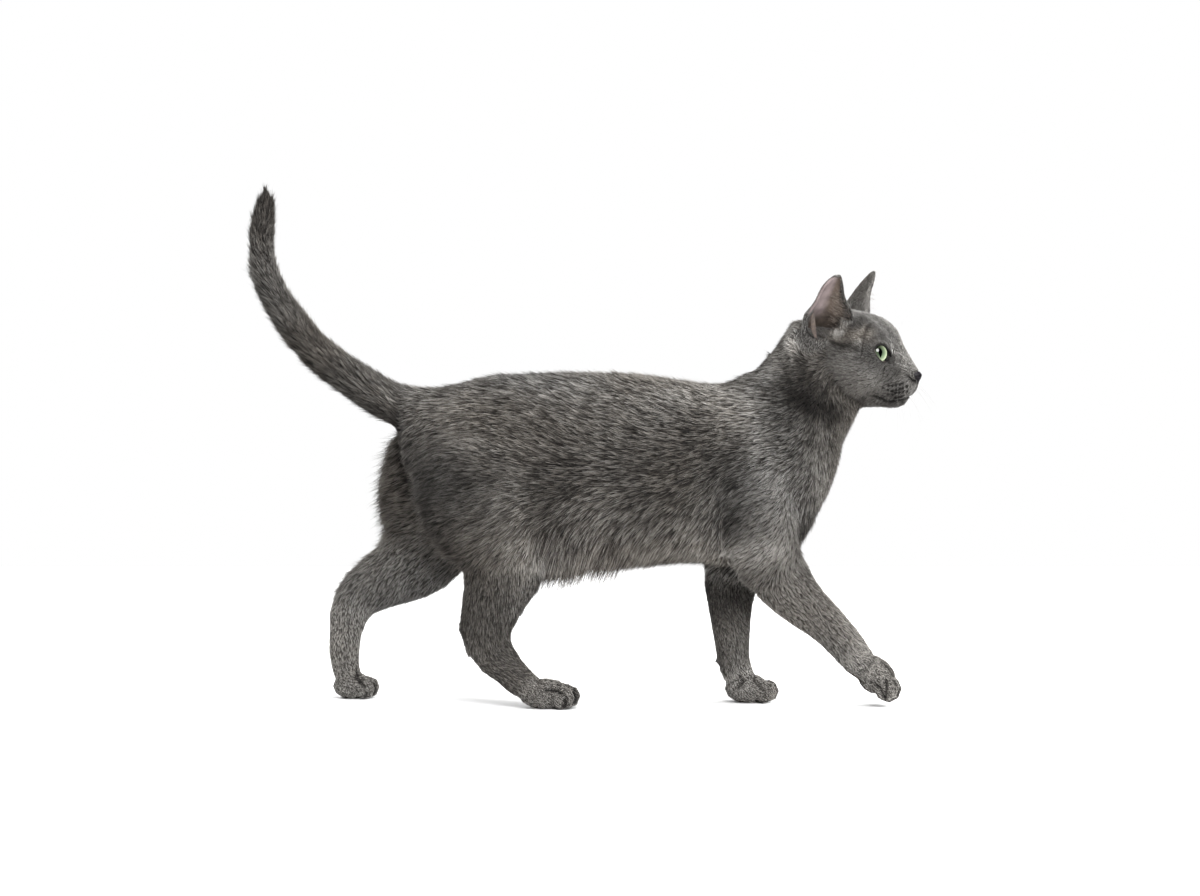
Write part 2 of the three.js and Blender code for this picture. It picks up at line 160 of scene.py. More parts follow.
# %% The floor and the light
FLOOR_HALF = 1.7  # metres
LOOK_AT = Vector((0.05, 0, 0.2))  # where the lamps point
scene.view_settings.view_transform = "Standard"
world = bpy.data.worlds.new("white_studio")
world.use_nodes = True
world.node_tree.nodes["Background"].inputs["Color"].default_value = (1, 1, 1, 1)
world.node_tree.nodes["Background"].inputs["Strength"].default_value = 1.0
scene.world = world
world.cycles_visibility.glossy = False  # else its even white veils the eyes and the dark fur roots



def placed(name, mesh):
    """A mesh as an object of the scene, at the origin."""
    piece = bpy.data.objects.new(name, mesh)
    scene.collection.objects.link(piece)
    return piece


def new_piece(name, bm):
    """Turns a bmesh that is done into an object."""
    mesh = bpy.data.meshes.new(name)
    bm.to_mesh(mesh)
    bm.free()
    return placed(name, mesh)


def painted_floor(material):
    """Matt white paint, very slightly uneven."""
    shade = ramp(material, grain(material, 40.0), [(0, "#dedede"), (1, "#e2e2e2")])
    return {"Base Color": shade, "Roughness": 0.8, "Specular IOR Level": 0.1}


bm = bmesh.new()
bmesh.ops.create_grid(bm, x_segments=1, y_segments=1, size=FLOOR_HALF)
floor = new_piece("floor", bm)
floor.data.materials.append(new_material("matt_white_paint", painted_floor))
floor.visible_glossy = False


def lamp(name, place, size, power, seen_in_eyes=False):
    """A round soft lamp that points at the cat; size in metres, power in watts."""
    data = bpy.data.lights.new(name, "AREA")
    data.shape = "DISK"
    data.size = size
    data.energy = power
    made = bpy.data.objects.new(name, data)
    made.location = place
    made.rotation_euler = (LOOK_AT - Vector(place)).to_track_quat("-Z", "Y").to_euler()
    made.visible_glossy = seen_in_eyes
    scene.collection.objects.link(made)


lamp("soft_box", (0.95, -2.2, 1.45), 1.2, 105, seen_in_eyes=True)
lamp("overhead", (0.1, -0.3, 2.1), 0.9, 60)
lamp("left_back", (-1.5, 0.2, 1.7), 0.8, 20)
lamp("right_back", (1.6, 0.3, 1.3), 0.8, 60)

# %% [markdown]
# The skin of a real animal has no joints, but the solids are parted where the body's parts meet. A closed
# mesh that joins them could be modelled by hand, or fused with Booleans, which keep every crease. A voxel
# remesh is better here: it wraps whatever overlaps in one even surface. Each solid is first swelled by a
# quarter of a millimetre, so that the fine gaps between neighbours close. The eyeballs are wrapped too, so
# that no hollow is left behind the lids.

# %% One skin over all the flesh
FLESH = [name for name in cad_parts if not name.startswith(("eye", "nose"))]
SWELL = 0.25 * MM  # how far each solid is swelled
VOXEL = 1.1 * MM  # the grain of the wrap
KEPT = 0.2  # share of the faces kept after thinning
EYES = {side: sum(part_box(f"eye_{side}"), Vector()) / 2 for side in ("left", "right")}
SIGN = {"left": 1, "right": -1}


def applied(piece):
    """Bakes a piece's modifiers into its mesh."""
    shown = piece.evaluated_get(bpy.context.evaluated_depsgraph_get())
    made = bpy.data.meshes.new_from_object(shown)
    piece.modifiers.clear()
    piece.data = made
    return piece


def add_wrap(piece, voxel):
    """Wraps a piece in one surface of small voxels, once its modifiers are baked."""
    wrap = piece.modifiers.new("wrap", "REMESH")
    wrap.mode = "VOXEL"
    wrap.voxel_size = voxel


def only_largest(bm):
    """Drops all shells but the one with most points, and says how many went."""
    left, shells = set(bm.verts), []
    while left:
        shell, reached = [], [left.pop()]
        while reached:
            vert = reached.pop()
            shell.append(vert)
            beside = {edge.other_vert(vert) for edge in vert.link_edges} & left
            left -= beside
            reached.extend(beside)
        shells.append(shell)
    shells.sort(key=len)
    for shell in shells[:-1]:
        bmesh.ops.delete(bm, geom=shell, context="VERTS")
    return len(shells) - 1


bm = bmesh.new()
for name in FLESH + ["eye_left", "eye_right"]:
    bm.from_mesh(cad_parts[name].data)
bmesh.ops.remove_doubles(bm, verts=bm.verts, dist=1e-6)
bm.normal_update()
for vert in bm.verts:
    vert.co += vert.normal * SWELL
skin = new_piece("skin", bm)
add_wrap(skin, VOXEL)
thin = skin.modifiers.new("thin", "DECIMATE")
thin.ratio = KEPT
thin.use_collapse_triangulate = True
applied(skin)

bm = bmesh.new()
bm.from_mesh(skin.data)
hollows = only_largest(bm)  # those shut in between two solids
bm.to_mesh(skin.data)
bm.free()
print("skin:", len(skin.data.polygons), "triangles, hollows dropped:", hollows)

# %% [markdown]
# The head's own frame is turned on the neck, so places on the face are given level and facing ahead and are
# then carried over. The two eyeballs tell where that frame stands.

# %% The head's frame
HEAD_TURN = Euler((math.radians(6.5), 0, math.radians(-25)), "XYZ").to_matrix()
EYE_AT = (27.5, 18, -1)  # the left eye's middle in the head's frame, in mm
EYE_RADIUS = 10.4 * MM
NOSE_TIP = Vector((60, 0, -20)) * MM
head_at = (EYES["left"] + EYES["right"]) / 2 - HEAD_TURN @ (Vector((EYE_AT[0], 0, EYE_AT[2])) * MM)
HEAD = Matrix.Translation(head_at) @ HEAD_TURN.to_4x4()
head_rows = np.array(HEAD)
print("head stands at", [round(v / MM, 1) for v in head_at])


def on_head(x, y, z):
    """A place in the head's frame, in mm, carried over to the world."""
    return HEAD @ (Vector((x, y, z)) * MM)


def in_head(places):
    """Places of the world in the head's frame, in millimetres."""
    return (places - head_rows[:3, 3]) @ head_rows[:3, :3] / MM


def in_head_ways(ways):
    """Directions of the world in the head's frame."""
    return ways @ head_rows[:3, :3]


def middle_of(name):
    """The middle of a solid's box."""
    low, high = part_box(name)
    return (low + high) / 2


# %% [markdown]
# Lids and lips need finer faces than the flank. Edges near them are cut in two, and round the eyes and
# mouth once more.

# %% Finer faces on the face
bm = bmesh.new()
bm.from_mesh(skin.data)
mouth_at = on_head(46, 0, -30)
ears_at = [middle_of(f"ear_{side}") for side in EYES]
FINER = (
    [(eye, 17.5 * MM) for eye in EYES.values()] + [(mouth_at, 24 * MM)] + [(ear, 31 * MM) for ear in ears_at],
    [(eye, 15.5 * MM) for eye in EYES.values()] + [(mouth_at, 19 * MM)],
)
for balls in FINER:
    near = [e for e in bm.edges if any((e.verts[0].co - at).length < reach for at, reach in balls)]
    near = [e for e in near if e.calc_length() > 0.6 * MM]
    bmesh.ops.subdivide_edges(bm, edges=near, cuts=1)
    bmesh.ops.triangulate(bm, faces=[f for f in bm.faces if len(f.verts) > 3])
bm.to_mesh(skin.data)
bm.free()
print("skin with finer face:", len(skin.data.polygons), "triangles")

# %% [markdown]
# The rest is worked out for all the skin's points at once, as arrays. Averaging each point with its
# neighbours again and again evens out a form or a value. On a form this shrinks it, so each step in is
# followed by a slightly larger step back out, which leaves the size alone and takes away only the facets.
# The head, ears and feet have fine forms and are evened out less. Where two solids met, a few steps without
# the step back fill the crease as flesh does.

# %% The skin as arrays, and its facets smoothed away
def points_of(mesh):
    """A mesh's points as rows of x, y, z."""
    spots = np.empty(len(mesh.vertices) * 3, np.float32)
    mesh.vertices.foreach_get("co", spots)
    return spots.reshape(-1, 3).astype(float)


def corners_of(mesh):
    """The numbers of the three points of each triangle."""
    corners = np.empty(len(mesh.loops), np.int32)
    mesh.loops.foreach_get("vertex_index", corners)
    return corners.reshape(-1, 3)


def unit(vectors):
    """Rows of vectors brought to length one."""
    return vectors / np.maximum(np.linalg.norm(vectors, axis=-1, keepdims=True), 1e-12)


def normals_of(spots, faces):
    """Each point's normal, as the mean of its triangles' by their areas."""
    a, b, c = (spots[faces[:, k]] for k in range(3))
    across = np.cross(b - a, c - a)
    total = np.zeros_like(spots)
    for k in range(3):
        for axis in range(3):
            total[:, axis] += np.bincount(faces[:, k], across[:, axis], len(spots))
    return unit(total)


faces = corners_of(skin.data)
spots = points_of(skin.data)
pairs = np.concatenate([faces[:, [0, 1]], faces[:, [1, 2]], faces[:, [2, 0]]])
pairs = np.unique(np.sort(pairs, axis=1), axis=0)
neighbours = np.maximum(np.bincount(pairs.ravel(), minlength=len(spots)), 1)


def evened(values, times, share=0.5, back=0.0):
    """Moves each point's values towards its neighbours' mean, and by a share back if one is given."""
    a, b = pairs.T
    flat = values.ndim == 1
    values = values[:, None] if flat else values
    for _ in range(times):
        for move in (share, back)[: 2 if np.any(back) else 1]:
            total = [np.bincount(a, v[b], len(v)) + np.bincount(b, v[a], len(v)) for v in values.T]
            values = values + move * (np.stack(total, axis=1) / neighbours[:, None] - values)
    return values[:, 0] if flat else values


def smooth_step(value, low, high):
    """0 below low and 1 above high, with a smooth rise between them."""
    t = np.clip((value - low) / (high - low), 0, 1)
    return t * t * (3 - 2 * t)


def faded(far, reach):
    """1 where the distance is none, and less the farther off."""
    return np.exp(-((far / reach) ** 2))


def tree_of(places):
    """A search tree that numbers the places in their order."""
    tree = KDTree(len(places))
    for number, place in enumerate(places):
        tree.insert(place, number)
    tree.balance()
    return tree


NAPE = (170, 305)  # where the neck's solid ends behind the head, as x, z in mm
NODES = sorted(FLESH)
drawn = [points_of(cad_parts[name].data) for name in NODES]
owner = np.repeat(np.arange(len(NODES)), [len(places) for places in drawn])
solid_tree = tree_of(np.concatenate(drawn))
label = owner[[solid_tree.find(spot)[1] for spot in spots]]
PAWS = [f"{limb}_paw" for limb in ("front_right", "front_left", "hind_right", "hind_left")]


def where(*starts):
    """Which points belong to solids whose names start so."""
    return np.isin(label, [i for i, name in enumerate(NODES) if name.startswith(starts)])


fine = evened(where("head", "ear", *PAWS).astype(float), 6)[:, None]
spots = evened(spots, 30, 0.5 * (1 - 0.93 * fine), -0.52 * (1 - 0.93 * fine))
meeting = np.zeros(len(spots))
meeting[pairs[label[pairs[:, 0]] != label[pairs[:, 1]]].ravel()] = 1
meeting = np.clip(evened(meeting, 9) * 3.2, 0, 1) * (1 - 0.8 * where("head", "ear"))
spots = evened(spots, 26, 0.5 * meeting[:, None])
ends = label[pairs]
root_seam = np.isin(ends, NODES.index("torso")).any(1) & np.isin(ends, NODES.index("tail_base")).any(1)
tail_root = spots[pairs[root_seam].ravel()].mean(0)
root_far = np.linalg.norm(spots - tail_root, axis=1)
spots = evened(spots, 70, 0.5 * faded(root_far, 26 * MM)[:, None])
neck_end = faded(np.linalg.norm(spots[:, [0, 2]] / MM - NAPE, axis=1), 12)
spots = evened(spots, 40, 0.5 * neck_end[:, None])
spots = spots + (neck_end * 4.5 * MM)[:, None] * np.array((-0.45, 0, 0.89))
normals = normals_of(spots, faces)
print("points:", len(spots))

# %% [markdown]
# Muscle and loose skin leave low folds under a short coat. Each fold is a line on the near side, seen
# square from that side, with its height and its width. Behind the elbow a ridge stands beside a groove, the
# turned neck folds twice, and the skin of the flank hangs in a web ahead of the knee. The toes are parted
# in the same way by deep narrow clefts.

# %% Folds of the skin
FOLDS = [  # height and width in mm, then the line as x, z
    (2.0, 4.0, [(98, 193), (102, 168), (107, 140), (113, 112)]),
    (-2.4, 4.0, [(106, 197), (110, 164), (114, 133), (117, 117)]),
    (2.4, 3.4, [(167, 299), (164, 289), (165, 280), (169, 268)]),
    (-1.4, 3.2, [(158, 291), (157, 275), (161, 262)]),
    (-2.2, 4.0, [(173, 290), (172, 272), (177, 258), (184, 244), (195, 235)]),
    (1.6, 5.0, [(-20, 152), (-19, 133), (-22, 116)]),
    (-2.0, 5.0, [(-34, 164), (-29, 148), (-25, 126)]),
    (1.4, 8.0, [(-96, 240), (-70, 214), (-54, 180), (-45, 140)]),
    (-1.4, 7.0, [(120, 214), (117, 185), (120, 150)]),
]
TOES = {  # the clefts between the toes, as x, z
    "hind_right_paw": [
        [(-28.8, 16.1), (-19.6, 15.4), (-15.7, 12.9), (-12.8, 9.6), (-13.1, 5.6), (-14.4, 2.5)],
        [(-7.6, 20), (-6.6, 17.5), (-2.6, 11.6)],
    ],
    "hind_left_paw": [
        [(-184, 19), (-182.4, 16.6), (-178.7, 13.5), (-174.5, 8.7), (-175.7, 5.1), (-177, 2.1)],
    ],
    "front_left_paw": [
        [(137, 20), (139.1, 16.2), (144.4, 12.3), (144.9, 5.5)],
        [(147, 19), (148.8, 17.1), (151.7, 11.4), (151.3, 6.5)],
        [(113, 29), (121.7, 26.8), (128.5, 19.1), (122.7, 13.3)],
    ],
    "front_right_paw": [
        [(225.3, 20.7), (232.9, 16.9), (235.7, 9.3)],
        [(237.6, 22.5), (237.6, 13), (236.7, 6.5)],
        [(246.1, 20.6), (248, 11.2)],
    ],
}


def line_reach(places, line):
    """The distance from each place to a line of straight runs, in the places' own unit."""
    nearest = np.full(len(places), np.inf)
    line = np.array(line, float)
    for start, end in zip(line[:-1], line[1:]):
        along = np.clip((places - start) @ (end - start) / ((end - start) @ (end - start)), 0, 1)
        nearest = np.minimum(nearest, np.linalg.norm(places - start - along[:, None] * (end - start), axis=1))
    return nearest


def banded(places, bands):
    """The sum of soft bands, each with its height, its width and its line."""
    return sum(high * faded(line_reach(places, line), wide) for high, wide, line in bands)


side_view = spots[:, [0, 2]] / MM
near_side = smooth_step(-normals[:, 1], 0.15, 0.5) * ~where("ear", "front_left", "hind_left")
folds = banded(side_view, FOLDS)
spots = spots + normals * (evened(folds * near_side, 2) * MM)[:, None]
cleft_far = np.full(len(spots), 99.0)
for name, lines in TOES.items():
    mine = label == NODES.index(name)
    low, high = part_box(name)
    for line in lines:
        cleft_far[mine] = np.minimum(cleft_far[mine], line_reach(side_view[mine], line))
    front = mine & (normals[:, 0] > 0.35) & (spots[:, 0] > low.x + 0.55 * (high.x - low.x))
    across = (spots[front, 1] - (low.y + high.y) / 2) / (high.y - low.y)
    gap = np.abs(across[:, None] - (-0.25, 0, 0.25)).min(1) * (high.y - low.y) / MM
    cleft_far[front] = np.maximum(gap, 0.6 * smooth_step(normals[front, 2], 0.5, 0.9))
clefts = faded(cleft_far, 1.15)
spots = spots - normals * (evened(clefts, 1) * 2.0 * MM)[:, None]
normals = normals_of(spots, faces)
print("folds rise from", round(float(folds.min()), 1), "to", round(float(folds.max()), 1), "mm")

# %% [markdown]
# Fur grows in fields. On the face it runs back from the nose and parts round the eyes, on the limbs and the
# tail it runs out to the ends. On trunk, neck and thigh it sweeps in curves, so comb marks are set there: a
# place seen from the side, and how steeply the hair falls behind it, in degrees. Each point takes a mean of
# the marks, the nearest counting most. The marks of a limb are carried over to the limb on the other side.

# %% The lie of the coat
MARKS = {
    "torso": [
        (-133, 245, 25), (-118, 245, 20), (-122, 222, 38), (-87, 261, 6), (-64, 263, 3), (14, 263, 2),
        (92, 257, 2), (-17, 230, -16), (-9, 218, -22), (14, 210, -22), (30, 218, -14), (45, 226, -10),
        (53, 195, 0), (30, 183, -20), (-17, 187, -10), (-17, 170, 15), (-2, 162, 35), (22, 148, 45),
        (45, 148, 30), (68, 148, 35), (61, 129, 48), (14, 131, 70), (-9, 131, 80), (45, 117, 65),
        (92, 195, 14), (103, 210, 20), (123, 241, 12), (92, 164, 55), (101, 133, 72), (84, 187, 20),
        (76, 218, -4), (-48, 210, -10), (-33, 202, -20), (76, 125, 60),
    ],
    "thigh": [
        (-141, 210, 50), (-118, 233, 30), (-126, 210, 38), (-95, 226, 12), (-79, 202, -3),
        (-126, 187, 25), (-102, 164, 15), (-87, 148, 20), (-110, 140, 30), (-64, 148, 25), (-56, 125, 42),
        (-40, 117, 62), (-26, 133, 80), (-102, 117, 28), (-79, 105, 38), (-48, 94, 55), (-71, 78, 50),
        (-33, 164, 30),
    ],
    "upper_arm": [
        (115, 202, 14), (130, 187, 20), (127, 164, 22), (138, 148, 25), (158, 164, 45), (150, 179, 35),
        (161, 140, 50), (146, 117, 35), (127, 117, 40), (123, 226, 12), (161, 195, 60), (115, 133, 30),
    ],
    "neck": [
        (161, 280, 0), (154, 249, 2), (138, 233, 5), (150, 218, 12), (169, 226, 35), (179, 213, 60),
        (192, 218, 88), (204, 226, 112), (212, 230, 120), (161, 206, 25), (185, 187, 80), (169, 179, 55),
        (199, 202, 100), (181, 164, 70), (196, 179, 95),
    ],
}
MARK_REACH = 9.0  # mm within which a mark counts fully
EAR_WAY = (21, 25.5, 57.3)  # from the left ear's root to its tip, in the head's frame
NEXT_PART = {"forearm": "paw", "shank": "metatarsus", "metatarsus": "paw"}


def run_of(name):
    """The direction in which the fur of a part lies, before it is laid onto the skin."""
    limb, _, part = name.rpartition("_")
    if name.startswith("tail"):
        low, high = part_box(name)
        return Vector((low.x - high.x, 0, high.z - low.z)) if name != "tail_tip" else Vector((0.1, 0, 1))
    if part == "paw":
        return Vector((0.75, 0, -0.65))
    if part in NEXT_PART:
        return middle_of(f"{limb}_{NEXT_PART[part]}") - middle_of(name)
    return Vector((-1, 0, 0))


lie = np.array([run_of(name).normalized() for name in NODES])[label]
for number, name in enumerate(NODES):
    group = next((part for part in MARKS if name.endswith(part)), None)
    mine = label == number
    if group is None or not mine.any():
        continue
    marks = np.array(MARKS[group], float)
    if "left" in name:
        shift = (middle_of(name) - middle_of(name.replace("left", "right"))) / MM
        marks[:, :2] += (shift.x, shift.z)
    places = spots[mine][:, [0, 2]] / MM
    apart = np.linalg.norm(places[:, None] - marks[None, :, :2], axis=2)
    weight = 1 / (apart**2 + MARK_REACH**2) ** 2
    fall = np.radians(marks[:, 2])
    way = weight @ np.stack([-np.cos(fall), 0 * fall, -np.sin(fall)], axis=1)
    lie[mine] = unit(way)

at_head = in_head(spots)
head_part = where("head")
from_nose = unit(at_head - np.array(NOSE_TIP / MM + Vector((-6, 0, 0)))) @ head_rows[:3, :3].T
lie[head_part] = from_nose[head_part]
for side, sign in SIGN.items():
    x, y, z = EAR_WAY
    lie[where(f"ear_{side}")] = HEAD_TURN @ Vector((x, sign * y, z)).normalized()
chest = where("torso", "neck") & (normals[:, 0] > 0.6)
lie[chest] = (0, 0, -1)


def laid(vectors):
    """Vectors made to lie in the surface."""
    return unit(vectors - normals * np.sum(vectors * normals, axis=1, keepdims=True))


lie = laid(lie)
for _ in range(5):
    lie = laid(evened(lie, 3))
for eye in EYES.values():
    away = spots - np.array(eye)
    along = smooth_step(np.sum(unit(away) * lie, axis=1), -0.7, 0.2)
    ring = (1.3 + 2.2 * along) * MM  # narrow where fur runs at the eye
    near = np.exp(-np.maximum(np.linalg.norm(away, axis=1) - 12.5 * MM, 0) / ring)[:, None]
    lie = laid(lie * (1 - 0.8 * near) + unit(away) * 0.9 * near)
print("the coat lies on", len(lie), "points")

# %% [markdown]
# A short coat isn't equally short. It is a millimetre or two on the nose and the toes, about nine on the
# trunk, and longest under the belly, behind the thighs and along the tail. The skin lies below the solids
# by the height at which those hairs lie, so that their tips come back to the solids' surface.

# %% How long, how wide and how deep the coat is
COAT = {  # millimetres: length of the tufts, their width, depth of the coat
    "torso": (8.5, 0.66, 2.6),
    "neck": (6.0, 0.5, 1.9),
    "head": (3.6, 0.36, 1.0),
    "ear": (1.7, 0.21, 0.25),
    "tail": (8.0, 0.55, 2.6),
    "upper_arm": (6.8, 0.6, 2.0),
    "forearm": (3.4, 0.42, 1.0),
    "thigh": (8.5, 0.66, 2.6),
    "shank": (4.8, 0.52, 1.5),
    "metatarsus": (2.8, 0.38, 0.75),
    "paw": (1.6, 0.28, 0.35),
}


def coat_of(name):
    """The sizes of the coat on a solid."""
    return next(size for part, size in COAT.items() if name.endswith(part) or name.startswith(part))


coat = np.array([coat_of(name) for name in NODES])[label] * MM
low_belly = where("torso") * smooth_step(150 * MM - spots[:, 2], 0, 30 * MM)
low_belly *= smooth_step(spots[:, 0], -60 * MM, -30 * MM) * smooth_step(100 * MM - spots[:, 0], 0, 60 * MM)
coat *= 1 + low_belly[:, None] * (0.75, 0.1, 0.5)
behind = where("hind_right_thigh", "hind_left_thigh", "hind_left_shank")
behind = behind * smooth_step(-normals[:, 0], 0.3, 0.7)
coat *= 1 + behind[:, None] * (0.35, 0, 0.2)
tail_under = where("tail") * smooth_step(-normals[:, 2] - 0.6 * normals[:, 0], 0.2, 0.8)
coat *= 1 + tail_under[:, None] * (0.25, 0, 0.1)
coat = evened(coat, 12)
nose_far = np.linalg.norm(at_head - np.array(NOSE_TIP / MM), axis=1)
muzzle = np.clip((nose_far - 8) / 62, 0, 1)[:, None]
on_face = evened(head_part.astype(float), 4)[:, None]
face_coat = np.array((1.2, 0.24, 0.25)) * MM + muzzle * np.array((3.1, 0.16, 1.2)) * MM
coat = coat * (1 - on_face) + face_coat * on_face
for eye in EYES.values():
    far = np.linalg.norm(spots - np.array(eye), axis=1)
    near = np.exp(-np.maximum(far - 12 * MM, 0) / (4 * MM))[:, None]
    coat = coat * (1 - near) + np.array((1.2, 0.22, 0.2)) * MM * near
length, width, depth = coat.T
spots = spots - normals * depth[:, None]
normals = normals_of(spots, faces)
print("coat lengths in mm:", round(length.min() / MM, 1), "to", round(length.max() / MM, 1))

# %% [markdown]
# The lids are the most telling form of the face. Seen from the middle of the eyeball, their opening is an
# almond drawn with two curves, drawn out towards the nose into a narrow corner. Every point of the skin
# near an eye is moved in or out along its own line from that middle: inside the almond it goes below the
# ball's surface, outside it stands a little above the ball, as a lid of real thickness, and further out it
# keeps its place.

# %% The lids
LIDS = {  # the two corners, and the two points that draw out each curve between them
    "outer": (-8.3, 2.2),
    "upper": (-5.5, 9.8, 4.8, 8.6),
    "inner": (10.2, -4.9),
    "lower": (4.6, -9.2, -5.6, -9),
}
LID_STEPS = 28  # points along each curve
LID_CENTRE = (0.2, -0.6)  # the almond's middle
LID_SCALE = 11.6  # the almond is drawn on a ball of this radius, in mm
LID_FLOOR = 9.6  # how near the ball's middle the skin goes inside the almond, in mm
AIM_OUT, AIM_UP = 26, 5  # where the lids' opening faces, in degrees


def eye_place(sign, out=AIM_OUT, up=AIM_UP):
    """An eye's own axes in the head's frame: towards the nose, up, and along its aim."""
    out, up = math.radians(out), math.radians(up)
    aim = Vector((math.cos(out), sign * math.sin(out), math.tan(up))).normalized()
    noseward = aim.cross(Vector((0, 0, 1))).normalized() * sign
    above = noseward.cross(aim) * sign
    return noseward, above, aim


def bend(p, q, r, s, t):
    """The point a share t along the curve from p to s that q and r draw out."""
    shares = (1 - t) ** 3, 3 * t * (1 - t) ** 2, 3 * t * t * (1 - t), t**3
    return [sum(k * v for k, v in zip(shares, parts)) for parts in zip(p, q, r, s)]


def almond():
    """The edge of the lids' opening, from corner to corner and back."""
    up, low = LIDS["upper"], LIDS["lower"]
    upper = [bend(LIDS["outer"], up[:2], up[2:], LIDS["inner"], i / LID_STEPS) for i in range(LID_STEPS)]
    lower = [bend(LIDS["inner"], low[:2], low[2:], LIDS["outer"], i / LID_STEPS) for i in range(LID_STEPS)]
    return upper + lower


def lid_height(u):
    """How far the lids' edge stands from the ball's middle, in mm: more in the inner corner."""
    return 11.45 + 2.6 * smooth_step(u, 6.0, 10.0)


outline = np.array(almond()) - LID_CENTRE
outline_turn = np.arctan2(outline[:, 1], outline[:, 0])
order = np.argsort(outline_turn)
outline_turn, outline_reach = outline_turn[order], np.linalg.norm(outline, axis=1)[order]
lid_share = np.full(len(spots), 9.0)  # 1 on the edge of the nearest opening, less inside it
for side, sign in SIGN.items():
    axes = np.array([np.array(v) for v in eye_place(sign)])
    reach = (at_head - np.array(EYE_AT) * (1, sign, 1)) @ axes.T
    far = np.linalg.norm(reach, axis=1)
    u, v = (reach[:, :2] / far[:, None] * LID_SCALE - LID_CENTRE).T
    share = np.hypot(u, v) / np.interp(np.arctan2(v, u), outline_turn, outline_reach, period=2 * math.pi)
    share = np.where((reach[:, 2] > 0) & (far < 24), share, 9.0)
    lid_share = np.minimum(lid_share, share)
    high = lid_height(u + LID_CENTRE[0])
    brow = smooth_step(v, 1.0, 6.0)
    goal = LID_FLOOR + (high - LID_FLOOR) * smooth_step(share, 0.955, 1.03)
    goal = goal + (0.4 + 0.8 * brow) * smooth_step(share, 1.0, 1.25)
    eye = np.array(EYES[side])
    out = unit(spots - eye)
    now = np.linalg.norm(spots - eye, axis=1) / MM
    held = 1 - smooth_step(share, 1.12, 1.8)
    spots = spots + out * (held * (goal - now) * MM)[:, None]
normals = normals_of(spots, faces)
print("points inside the lids' openings:", int((lid_share < 1).sum()))

# %% [markdown]
# The mouth is a closed line from the middle of the lip to a corner below each eye, with a short groove up
# to the nose. Its course is found by casting lines out from inside the muzzle, and the skin is pressed in
# along it. A crease also runs from each eye's inner corner down beside the nose to the slit behind the
# nostril.

# %% The mouth, and creases beside the nose
# The line of the lips, as turn in degrees and level in mm.
MOUTH = [(0, -35.5), (15, -36.5), (32, -38.3), (50, -39), (72, -38.6), (95, -36.5), (112, -33.8)]
MOUTH_CORE = 32  # where the lines are cast from, in mm ahead
PHILTRUM = (-27, -29, -31, -33.5, -35.5)  # levels of the groove, in mm
CREASE = [(38.6, 12.5, -5.5), (41.2, 9.6, -9), (44.3, 9, -13), (48, 9.4, -17), (52, 9.3, -20)]
NOSTRIL_SLIT = [(51.5, 9.3, -19.4), (53.1, 9.2, -20.6), (54.8, 8.2, -22.8), (56.6, 5, -23.8)]


def skin_tree():
    """The skin as it is now, for lines to be cast at."""
    return BVHTree.FromPolygons([Vector(p) for p in spots], faces.tolist())


def cast_out(surface, start, way):
    """Where a line from inside the head leaves it, in the head's frame, in mm."""
    hit = surface.ray_cast(on_head(*start), HEAD_TURN @ Vector(way).normalized())[0]
    return HEAD.inverted() @ hit / MM


surface = skin_tree()
lip = []
for turn, level in [(-t, z) for t, z in MOUTH[:0:-1]] + MOUTH:
    turn = math.radians(turn)
    lip.append(cast_out(surface, (MOUTH_CORE, 0, level), (math.cos(turn), math.sin(turn), 0)))
philtrum = [cast_out(surface, (MOUTH_CORE, 0, level), (1, 0, 0)) for level in PHILTRUM]
at_head = in_head(spots)
outer = in_head(spots + normals * (depth + 0.3 * MM)[:, None])  # where the ends of the hair come to
mirrored = outer * (1, 0, 1) + np.abs(outer) * (0, 1, 0)
lip_far = line_reach(at_head, lip)
philtrum_far = line_reach(at_head, philtrum)
crease_far = line_reach(mirrored, CREASE)
slit_far = line_reach(mirrored, NOSTRIL_SLIT)
sunk = faded(lip_far, 0.9) + 0.55 * faded(philtrum_far, 0.8)
sunk += 0.3 * faded(crease_far, 1.3) + 0.8 * faded(slit_far, 0.7)
sunk *= where("head")
spots = spots - normals * (sunk * MM)[:, None]
normals = normals_of(spots, faces)
print("the mouth is", round(sum((a - b).length for a, b in zip(lip, lip[1:]))), "mm round")

# %% [markdown]
# The inside of an ear is nearly bare skin. A point is inside when it lies within the leaf that the ear was
# carved from, so the leaf's own sizes find the cup.

# %% The cups of the ears
EAR = {
    "root": (-11, 22, 5),
    "tip": (10, 47.5, 62.3),
    "width": 22,
    "taper": 8,
    "depth": 10,
    "open": 52,  # degrees from straight ahead
    "bow": 2,
}
FLARE = {"left": 0, "right": 5.5}  # mm by which an ear's root is set to the rear
FRONT_ROOT = 7.5  # mm by which an ear's front edge runs out onto the forehead
FAR_EDGE = 2.8  # mm by which the left ear's front edge bends back
TIP_ROUNDING = {"right": 3.6, "left": 1.0}  # mm by which the rear edge is rounded near the tip


def ear_frame(sign):
    """An ear's root, and its ways along, out of its face and across, in the head's frame."""
    root = Vector(EAR["root"])
    along = Vector(EAR["tip"]) - root
    open_way = Vector((math.cos(math.radians(EAR["open"])), math.sin(math.radians(EAR["open"])), 0))
    facing = (open_way - open_way.project(along)).normalized()
    across = facing.cross(along).normalized()
    flip = np.array((1, sign, 1))
    return [np.array(v) * flip for v in (root, along, facing, across)]


def ear_half(share):
    """Half the ear's width at a share of its height, in mm."""
    return (EAR["width"] - EAR["taper"] * smooth_step(0.42 - share, 0, 0.42)) * (1 - share) ** 0.75 + 1.5


